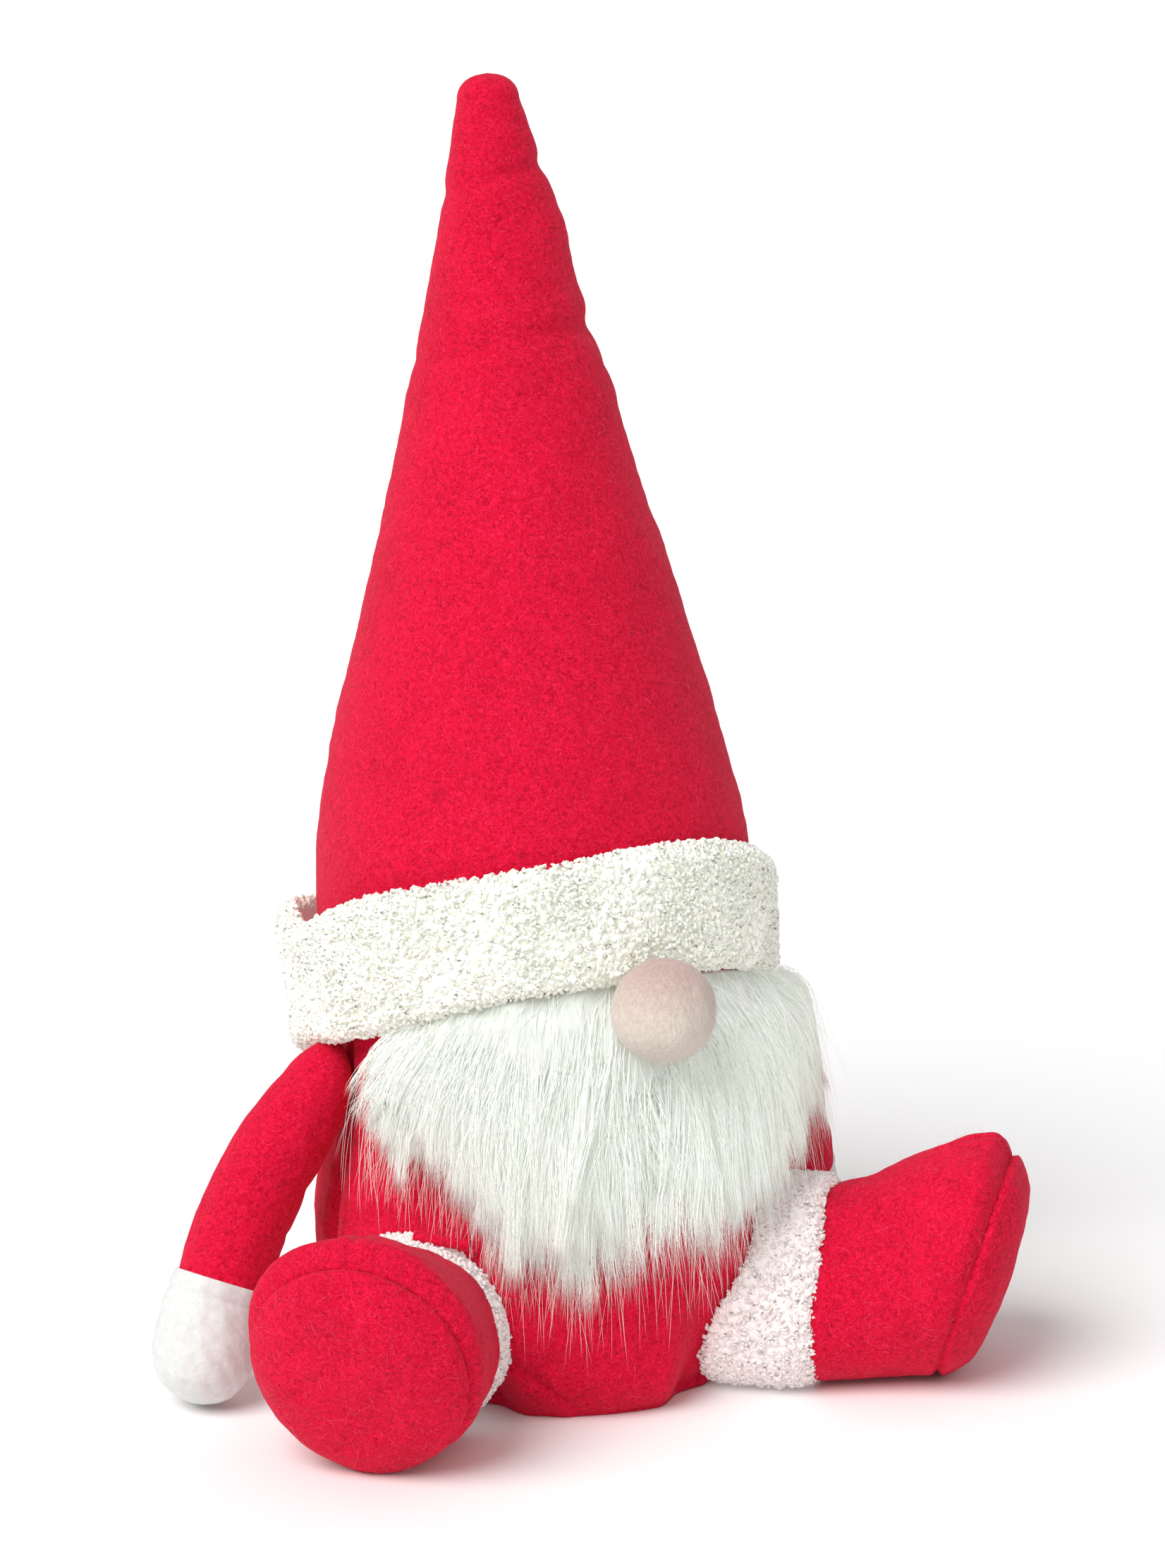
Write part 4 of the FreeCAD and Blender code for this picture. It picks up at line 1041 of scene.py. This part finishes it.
def leg_pieces(side, sx):
    body = side + "_leg"
    fwd, lat, start = leg_frame(sx)
    up = np.array([0, 0, 1.0])

    def world(rho, y, z):
        # the left leg leaves the body nearer the front and bends back
        if sx > 0:
            y = y - (0.0190 - 0.0150 * np.clip(z / 0.050, 0, 1)) * smooth(0.132, 0.084, rho)
        return start + rho[..., None] * fwd + y[..., None] * lat + z[..., None] * up

    nu = 200
    ph = np.linspace(0, 2 * PI, nu, endpoint=False)
    ph2t = np.linspace(0, 2 * PI, 96, endpoint=False)
    top_u = np.array([0, 0.25, 0.5, 0.72, 0.88, 0.96, 1.0])
    top_r = np.array([97, 113, 131, 147, 157.5, 161.0, 162.5]) / 1000
    top_z = np.array([67.0, 71.5, 80.5, 88.0, 89.8, 86.5, 81.5]) / 1000
    bot_u = np.array([0, 0.5, 0.8, 0.94, 1.0])
    bot_r = np.array([97, 118, 131, 137.0, 138.5]) / 1000
    bot_z = np.array([0.6, 0.2, 0.3, 0.9, 2.6]) / 1000
    wid_u = np.array([0, 0.25, 0.5, 0.75, 0.9, 0.965, 1.0])
    wid = np.array([33.4, 36.2, 39.3, 41.6, 41.9, 40.6, 38.6]) / 1000

    def soften(xs, ys, u):
        f = np.linspace(-0.1, 1.0, 441)
        y = np.interp(f, xs, ys)
        y[f < 0] = ys[0] + (ys[1] - ys[0]) / (xs[1] - xs[0]) * f[f < 0]
        k = np.exp(-0.5 * (np.arange(-24, 25) / 9.0) ** 2)
        k /= k.sum()
        pad = np.concatenate([2 * y[0] - y[24:0:-1], y, 2 * y[-1] - y[-2:-26:-1]])
        return np.interp(u, f, np.convolve(pad, k, "valid"))

    u = np.concatenate([np.linspace(0, 0.88, 90), np.linspace(0.885, 1.0, 34)])
    T = np.stack([soften(top_u, top_r, u), soften(top_u, top_z, u)], 1)
    B = np.stack([soften(bot_u, bot_r, u), np.maximum(soften(bot_u, bot_z, u), 0.0002)], 1)
    W = soften(wid_u, wid, u)
    C = (T + B) / 2
    A = (T - B) / 2

    def ring(C, A, W, s=1.0):
        cosv, sinv = np.cos(ph), np.sin(ph)
        # a fuller, slightly squared section sits flat on the floor
        rho = C[:, None, 0] + A[:, None, 0] * cosv[None] * s
        z = C[:, None, 1] + A[:, None, 1] * cosv[None] * s
        y = W[:, None] * sinv[None] * s
        return rho, y, z

    rho, y, z = ring(C, A, W)
    # centre seam from the toe back over the instep
    ang = np.minimum(ph, 2 * PI - ph)
    arc = ang[None] * W[:, None]
    uu = u[:, None]
    groove = 0.0013 * np.exp(-(arc / 0.0012) ** 2) * smooth(0.45, 0.62, uu)
    lipr = 0.0007 * np.exp(-((arc - 0.004) / 0.0022) ** 2) * smooth(0.45, 0.62, uu)
    P3 = world(rho, y, z)
    cen = world(C[:, 0], np.zeros(len(C)), C[:, 1])
    n = P3 - cen[:, None]
    n /= np.linalg.norm(n, axis=2, keepdims=True)
    flat = P3.reshape(-1, 3)
    w = (0.0009 * wave(flat, 0.045, 101 + sx, 2) + 0.0002 * wave(flat, 0.009, 103, 2)).reshape(y.shape)
    # small gathers beside the sole seam
    gather = 0.00035 * np.sin(ph * 46 + 1.3 * np.sin(ph * 3))[None] * smooth(0.90, 0.985, uu)
    P3 = P3 + n * (w + lipr - groove + gather)[..., None]
    P3[..., 2] = np.maximum(P3[..., 2], 0.0002)
    # close: back edge turned in under the cuff, front edge turned into the seam
    c0, c1 = cen[0], cen[-1]
    back = [c0 + (P3[0] - c0) * f + fwd * g for f, g in ((0.92, 0.003), (0.93, -0.0002), (0.97, -0.0008))]
    seam_n = np.array([math.cos(math.radians(16.5)), -math.sin(math.radians(16.5))])
    nw = seam_n[0] * fwd + seam_n[1] * up
    front = [c1 + (P3[-1] - c1) * f + nw * g for f, g in ((0.975, 0.0006), (0.94, 0.0006), (0.90, -0.001))]
    G = np.concatenate([np.array(back), P3, np.array(front)])
    G[..., 2] = np.maximum(G[..., 2], 0.0002)
    Gd = G[::-1] if sx > 0 else G
    ob = skin(side + "_boot_felt", Gd, FELT, first=Gd[0].mean(0), last=Gd[-1].mean(0))
    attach(ob, body)
    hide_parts(side + "_boot_upper")
    # sole: stuffed oval that swells out of the seam
    Cs, As, Ws = C[-1], A[-1], W[-1]
    q = np.concatenate([np.linspace(0.972, 0.985, 3), np.linspace(0.99, 0.9, 16), np.linspace(0.88, 0.03, 46)])
    depth = np.concatenate([np.array([-0.0016, 0.0, 0.0014]),
                            0.0128 * (1 - np.linspace(0.99, 0.9, 16) ** 3.2) ** 0.62 + 0.0012,
                            0.0128 * (1 - np.linspace(0.88, 0.03, 46) ** 3.2) ** 0.62 + 0.0012])
    swell = np.interp(depth, [-0.002, 0.0, 0.003, 0.006], [0.985, 0.992, 1.012, 1.0])
    rows = []
    for qi, de, sw in zip(q, depth, swell):
        f = qi * sw
        rho = Cs[0] + As[0] * np.cos(ph) * f
        zz = Cs[1] + As[1] * np.cos(ph) * f
        yy = Ws * np.sin(ph) * f
        rows.append(world(rho, yy, zz) + nw * de)
    G = np.array(rows)
    flat = G.reshape(-1, 3)
    w = 0.0007 * wave(flat, 0.03, 105 + sx, 2) + 0.00016 * wave(flat, 0.008, 107, 2)
    w *= np.repeat(smooth(0.0, 0.005, depth), nu)
    G = (flat + nw * w[:, None]).reshape(G.shape)
    # the lower edge settles on the floor
    low = np.clip(0.03 - G[..., 2], 0, 0.03) / 0.03
    G[..., 2] = np.maximum(G[..., 2] - 0.0022 * low ** 2, 0.0002)
    Gd = G[::-1] if sx < 0 else G
    c_in = world(np.array(Cs[0]), np.array(0.0), np.array(Cs[1])) - nw * 0.0016
    c_out = world(np.array(Cs[0]), np.array(0.0), np.array(Cs[1])) + nw * 0.0141
    if sx < 0:
        ob = skin(side + "_sole_felt", Gd, FELT, first=c_out, last=c_in)
    else:
        ob = skin(side + "_sole_felt", Gd, FELT, first=c_in, last=c_out)
    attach(ob, body)
    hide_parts(side + "_boot_sole")
    # stuffing: thigh, boot and the swell behind the sole in one
    gap = 0.0024
    us = np.linspace(0.02, 1.0, 60)
    Tf = np.stack([soften(top_u, top_r, us), soften(top_u, top_z, us)], 1)
    Bf = np.stack([soften(bot_u, bot_r, us), np.maximum(soften(bot_u, bot_z, us), 0.0002)], 1)
    Cf, Af, Wf = (Tf + Bf) / 2, (Tf - Bf) / 2, soften(wid_u, wid, us) - gap
    ln = np.linalg.norm(Af, axis=1, keepdims=True)
    Af = Af * (1 - gap / ln)
    fr, fy, fz = ring(Cf, Af, Wf)
    rows = []
    zt, Rt = (0.0355, 0.0274) if sx > 0 else (0.0322, 0.0258)
    for rho0 in (0.0898, 0.0930, 0.0962):
        rows.append(world(np.full(nu, rho0), Rt * np.sin(ph), zt + Rt * np.cos(ph)))
    rows.append(world(0.5 * (fr[0] + 0.0975), 0.93 * fy[0], 0.93 * (fz[0] - zt) + zt))
    rows = np.concatenate([np.array(rows), world(fr, fy, fz)])
    caps = []
    for qi in (0.97, 0.9, 0.75, 0.5, 0.25, 0.06):
        de = 0.0128 * (1 - qi ** 3.2) ** 0.62 - 0.0012
        caps.append(world(Cf[-1, 0] + Af[-1, 0] * np.cos(ph) * qi, Wf[-1] * np.sin(ph) * qi,
                          Cf[-1, 1] + Af[-1, 1] * np.cos(ph) * qi) + nw * de)
    Gf = np.concatenate([rows, np.array(caps)])[:, ::4]
    Gf[..., 2] = np.maximum(Gf[..., 2], 0.0024)
    Gd = Gf[::-1] if sx > 0 else Gf
    fl = skin(side + "_leg_stuffing", Gd, FILL, first=Gd[0].mean(0), last=Gd[-1].mean(0))
    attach(fl, body)
    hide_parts(side + "_leg_filling")
    # thigh: short closed tube of felt that joins the boot to the body
    tr, tz = (0.0299, 0.0353) if sx > 0 else (0.0282, 0.0322)
    rows = []
    for rho0, rad in ((0.0877, 0.2), (0.0876, 0.6), (0.0876, 0.86), (0.0880, 0.95), (0.0890, 0.99), (0.0905, 1.0),
                      (0.0940, 1.0), (0.0980, 1.0), (0.1005, 1.0), (0.1005, 0.95), (0.098, 0.94)):
        rows.append(world(np.full(96, rho0), tr * rad * np.sin(ph2t), tz + tr * rad * np.cos(ph2t)))
    Gt = np.array(rows)
    Gd = Gt[::-1] if sx > 0 else Gt
    th = skin(side + "_thigh_felt", Gd, FELT, first=Gd[0].mean(0), last=Gd[-1].mean(0))
    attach(th, body)
    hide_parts(side + "_thigh")
    # teddy cuff round the thigh
    nu2, nv2 = 300, 64
    ph2 = np.linspace(0, 2 * PI, nu2, endpoint=False)
    # inner end follows the body's side, outer end meets the boot
    v = np.linspace(0, 1, nv2, endpoint=False)
    zc, Rc = (0.0352, 0.0325) if sx > 0 else (0.0322, 0.0306)
    look = np.linspace(0.030, 0.097, 300)
    Q = world(np.tile(look, (nu2, 1)), np.tile((Rc * np.sin(ph2))[:, None], (1, 300)),
              np.tile((zc + Rc * np.cos(ph2))[:, None], (1, 300)))
    qa = Q - axis(Q[..., 2])
    qr = np.hypot(qa[..., 0], qa[..., 1])
    free = qr > body_radius(np.arctan2(qa[..., 0], -qa[..., 1]), Q[..., 2]) + 0.0006
    # last place along the line that is still inside the body
    inside = ~free
    last_in = 299 - np.argmax(inside[:, ::-1], 1)
    rho_in = np.where(inside.any(1), look[np.minimum(last_in + 1, 299)], 0.060)
    rho_in = np.minimum(rho_in, 0.0935)
    kk = np.exp(-0.5 * (np.arange(-6, 7) / 3.0) ** 2)
    rho_in = np.convolve(np.concatenate([rho_in[-6:], rho_in, rho_in[:6]]), kk / kk.sum(), "valid")
    rho_out = 0.0985 + 0.0006 * np.sin(ph2 * 5)
    rows = []
    for s in v:
        if s < 0.5:
            t = s / 0.5
            off = 0.0026 - 0.0022 * (1 - min(1, t / 0.12)) ** 2 - 0.0022 * (1 - min(1, (1 - t) / 0.12)) ** 2
        elif s < 0.55:
            t, off = 1.0, 0.0004 - 0.0014 * (s - 0.5) / 0.05
        elif s < 0.95:
            t, off = 1 - (s - 0.55) / 0.40, -0.0022
        else:
            t, off = 0.0, -0.0010 + 0.0014 * (s - 0.95) / 0.05
        rho = rho_in + t * (rho_out - rho_in)
        R = Rc + off
        zz = zc + R * np.cos(ph2)
        yy = R * np.sin(ph2)
        rows.append(world(rho, yy, np.maximum(zz, 0.0008)))
    G = np.array(rows)
    n = normals(G)
    cen = world(0.5 * (rho_in + rho_out), np.zeros(nu2), np.full(nu2, zc))
    n *= np.sign((n[4:28] * (G[4:28] - cen)).sum())
    nrow = int(nv2 * 0.52)
    dense, dn = G[:nrow].reshape(-1, 3), n[:nrow].reshape(-1, 3)
    ok = dense[:, 2] > 0.0012
    dense, dn = dense[ok], dn[ok]
    jit = np.random.default_rng(15).normal(size=dense.shape) * 0.0002
    pick = scatter(dense + jit, dn, 4000, 0.0024, 17)
    Cc, Nn = dense[pick], dn[pick]
    h = knobbly(G, Cc, 0.0016, 0.0011).reshape(G.shape[:2])
    more = scatter(dense + jit * 3, dn, 6000, 0.00165, 28)
    Cc, Nn = dense[more], dn[more]
    h[nrow + 1:] *= 0.1
    base = G + n * h[..., None]
    base[..., 2] = np.maximum(base[..., 2], 0.0002)
    ob = skin(side + "_cuff_cloth", base[::-1] if sx < 0 else base, CUFF_PAINTED_BOUNCE, ring=True)
    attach(ob, body)
    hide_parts(side + "_leg_cuff")
    c = curls(side + "_cuff_curls", Cc + Nn * 0.0001, Nn, CUFF_PAINTED_BOUNCE, 19 + sx, 0.00095, 0.00072)
    co = np.zeros(len(c.data.vertices) * 3, np.float32)
    c.data.vertices.foreach_get("co", co)
    co = co.reshape(-1, 3)
    co[:, 2] = np.maximum(co[:, 2], 0.0001)
    c.data.vertices.foreach_set("co", co.ravel())
    c.data.update()
    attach(c, body)


# stray wool fibres on a felt piece ------------------------------------------------
def fibres(ob, name, body, count, seed, mat, length=(0.002, 0.006), thick=0.000035):
    me = ob.data
    n = len(me.polygons)
    cen = np.zeros(n * 3, np.float32)
    nor = np.zeros(n * 3, np.float32)
    area = np.zeros(n, np.float32)
    me.polygons.foreach_get("center", cen)
    me.polygons.foreach_get("normal", nor)
    me.polygons.foreach_get("area", area)
    cen, nor = cen.reshape(-1, 3).astype(float), nor.reshape(-1, 3).astype(float)
    r = np.random.default_rng(seed)
    pick = r.choice(n, count, p=area / area.sum())
    c, d = cen[pick], nor[pick]
    lay = np.cross(d, r.normal(size=d.shape))
    lay /= np.linalg.norm(lay, axis=1, keepdims=True) + 1e-9
    turn = np.cross(d, lay)
    k = 6
    s = np.linspace(0, 1, k)[None, :, None]
    L = r.uniform(*length, count)[:, None, None]
    bend = r.uniform(-0.6, 0.6, count)[:, None, None]
    lift = r.uniform(0.1, 0.5, count)[:, None, None]
    path = c[:, None] + d[:, None] * L * lift * np.sin(s * 2.2) + lay[:, None] * L * s + turn[:, None] * L * bend * s * s
    path[..., 2] = np.maximum(path[..., 2], 0.0002)
    rad = np.linspace(1, 0.4, k)[None] * thick * np.ones((count, 1))
    f = tubes(name, path, rad, mat)
    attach(f, body)


hat = hat_piece()
front = body_piece("body_front_felt", -PI / 2, PI / 2, "body_front_panel")
backp = body_piece("body_back_felt", PI / 2, 3 * PI / 2, "body_back_panel")
body_inside()
brim_piece()
nose_piece()
beard_pieces()
for side, sx in (("right", -1), ("left", 1)):
    arm_pieces(side, sx)
    leg_pieces(side, sx)
fibres(hat, "hat_fluff", "torso", 2600, 201, FLUFF, (0.0015, 0.0045), 0.000024)
fibres(front, "body_fluff", "torso", 700, 202, FLUFF)
for side in ("right", "left"):
    fibres(bpy.data.objects[side + "_sleeve_felt"], side + "_sleeve_fluff", side + "_arm", 350, 203, FLUFF)
    fibres(bpy.data.objects[side + "_boot_felt"], side + "_boot_fluff", side + "_leg", 350, 204, FLUFF)
    fibres(bpy.data.objects[side + "_sole_felt"], side + "_sole_fluff", side + "_leg", 250, 205, FLUFF)

# CAD nodes that stay: base panel, seam pieces, thighs and everything inside
cotton, nt, p = material("bag_cotton")
nt.links.new(ramp(nt, noise(nt, 900.0, 2.0, 0.5), [(0.3, (0.62, 0.58, 0.48)), (0.7, (0.76, 0.72, 0.62))]),
             p.inputs["Base Color"])
p.inputs["Roughness"].default_value = 0.9
pell, nt, p = material("pellets")
nt.links.new(ramp(nt, noise(nt, 350.0, 1.0, 0.5), [(0.4, (0.6, 0.6, 0.6)), (0.6, (0.85, 0.85, 0.85))]),
             p.inputs["Base Color"])
p.inputs["Roughness"].default_value = 0.5
kind = {s["node"]: s["material_slot"] for s in frame["record"]["subparts"]}
looks = {"red_felt": FELT, "teddy_cloth": TEDDY, "beard_fur": BEARD, "nose_wool": NOSE, "white_velour": MITT,
         "stuffing": FILL, "bag_cotton": cotton, "pellets": pell}
for node, ob in frame["nodes"].items():
    m = looks[kind[node]]
    if len(ob.material_slots) == 0:
        ob.data.materials.append(m)
    for s in ob.material_slots:
        s.material = m

# ------------------------------------------------------------- floor, light --
def plain(name, color, rough):
    m, nt, p = material(name)
    p.inputs["Base Color"].default_value = (*color, 1)
    p.inputs["Roughness"].default_value = rough
    p.inputs["Specular IOR Level"].default_value = 0.1
    return m


bpy.ops.mesh.primitive_plane_add(size=30.0, location=(0, 0, 0))
floor = bpy.context.object
floor.name = "floor"
floor.data.materials.append(plain("floor_paper", (0.99, 0.99, 0.99), 0.95))

studio = bpy.data.worlds.new("studio")
studio.use_nodes = True
studio.node_tree.nodes["Background"].inputs["Color"].default_value = (1.0, 1.0, 1.0, 1)
studio.node_tree.nodes["Background"].inputs["Strength"].default_value = 0.50
bpy.context.scene.world = studio


def soft_sun(name, azimuth, height, strength, angle):
    """Wide soft light from a compass direction (0 = in front of the figure)."""
    data = bpy.data.lights.new(name, "SUN")
    data.energy = strength
    data.angle = math.radians(angle)
    ob = bpy.data.objects.new(name, data)
    a, h = math.radians(azimuth), math.radians(height)
    toward = Vector((math.sin(a) * math.cos(h), -math.cos(a) * math.cos(h), math.sin(h)))
    ob.location = toward * 3
    ob.rotation_euler = (-toward).to_track_quat("-Z", "Y").to_euler()
    bpy.context.scene.collection.objects.link(ob)


soft_sun("key", -66.0, 47.0, 2.55, 42.0)

# -------------------------------------------------------------------- camera --
az = math.radians(-26)
back = Vector((math.sin(az), -math.cos(az), 0))
right = Vector((math.cos(az), math.sin(az), 0))
cam_data = bpy.data.cameras.new("camera")
cam_data.lens = 127.0
cam_data.sensor_width = 36.0
cam_data.sensor_fit = "AUTO"
cam_data.clip_start = 0.05
cam = bpy.data.objects.new("camera", cam_data)
cam.location = back * 1.9 + Vector((0, 0, 0.70)) + right * 0.008
aim = right * 0.008 + Vector((0, 0, 0.211))
cam.rotation_euler = (aim - cam.location).to_track_quat("-Z", "Y").to_euler()
bpy.context.scene.collection.objects.link(cam)
bpy.context.scene.camera = cam
bpy.context.scene.view_settings.view_transform = "Standard"
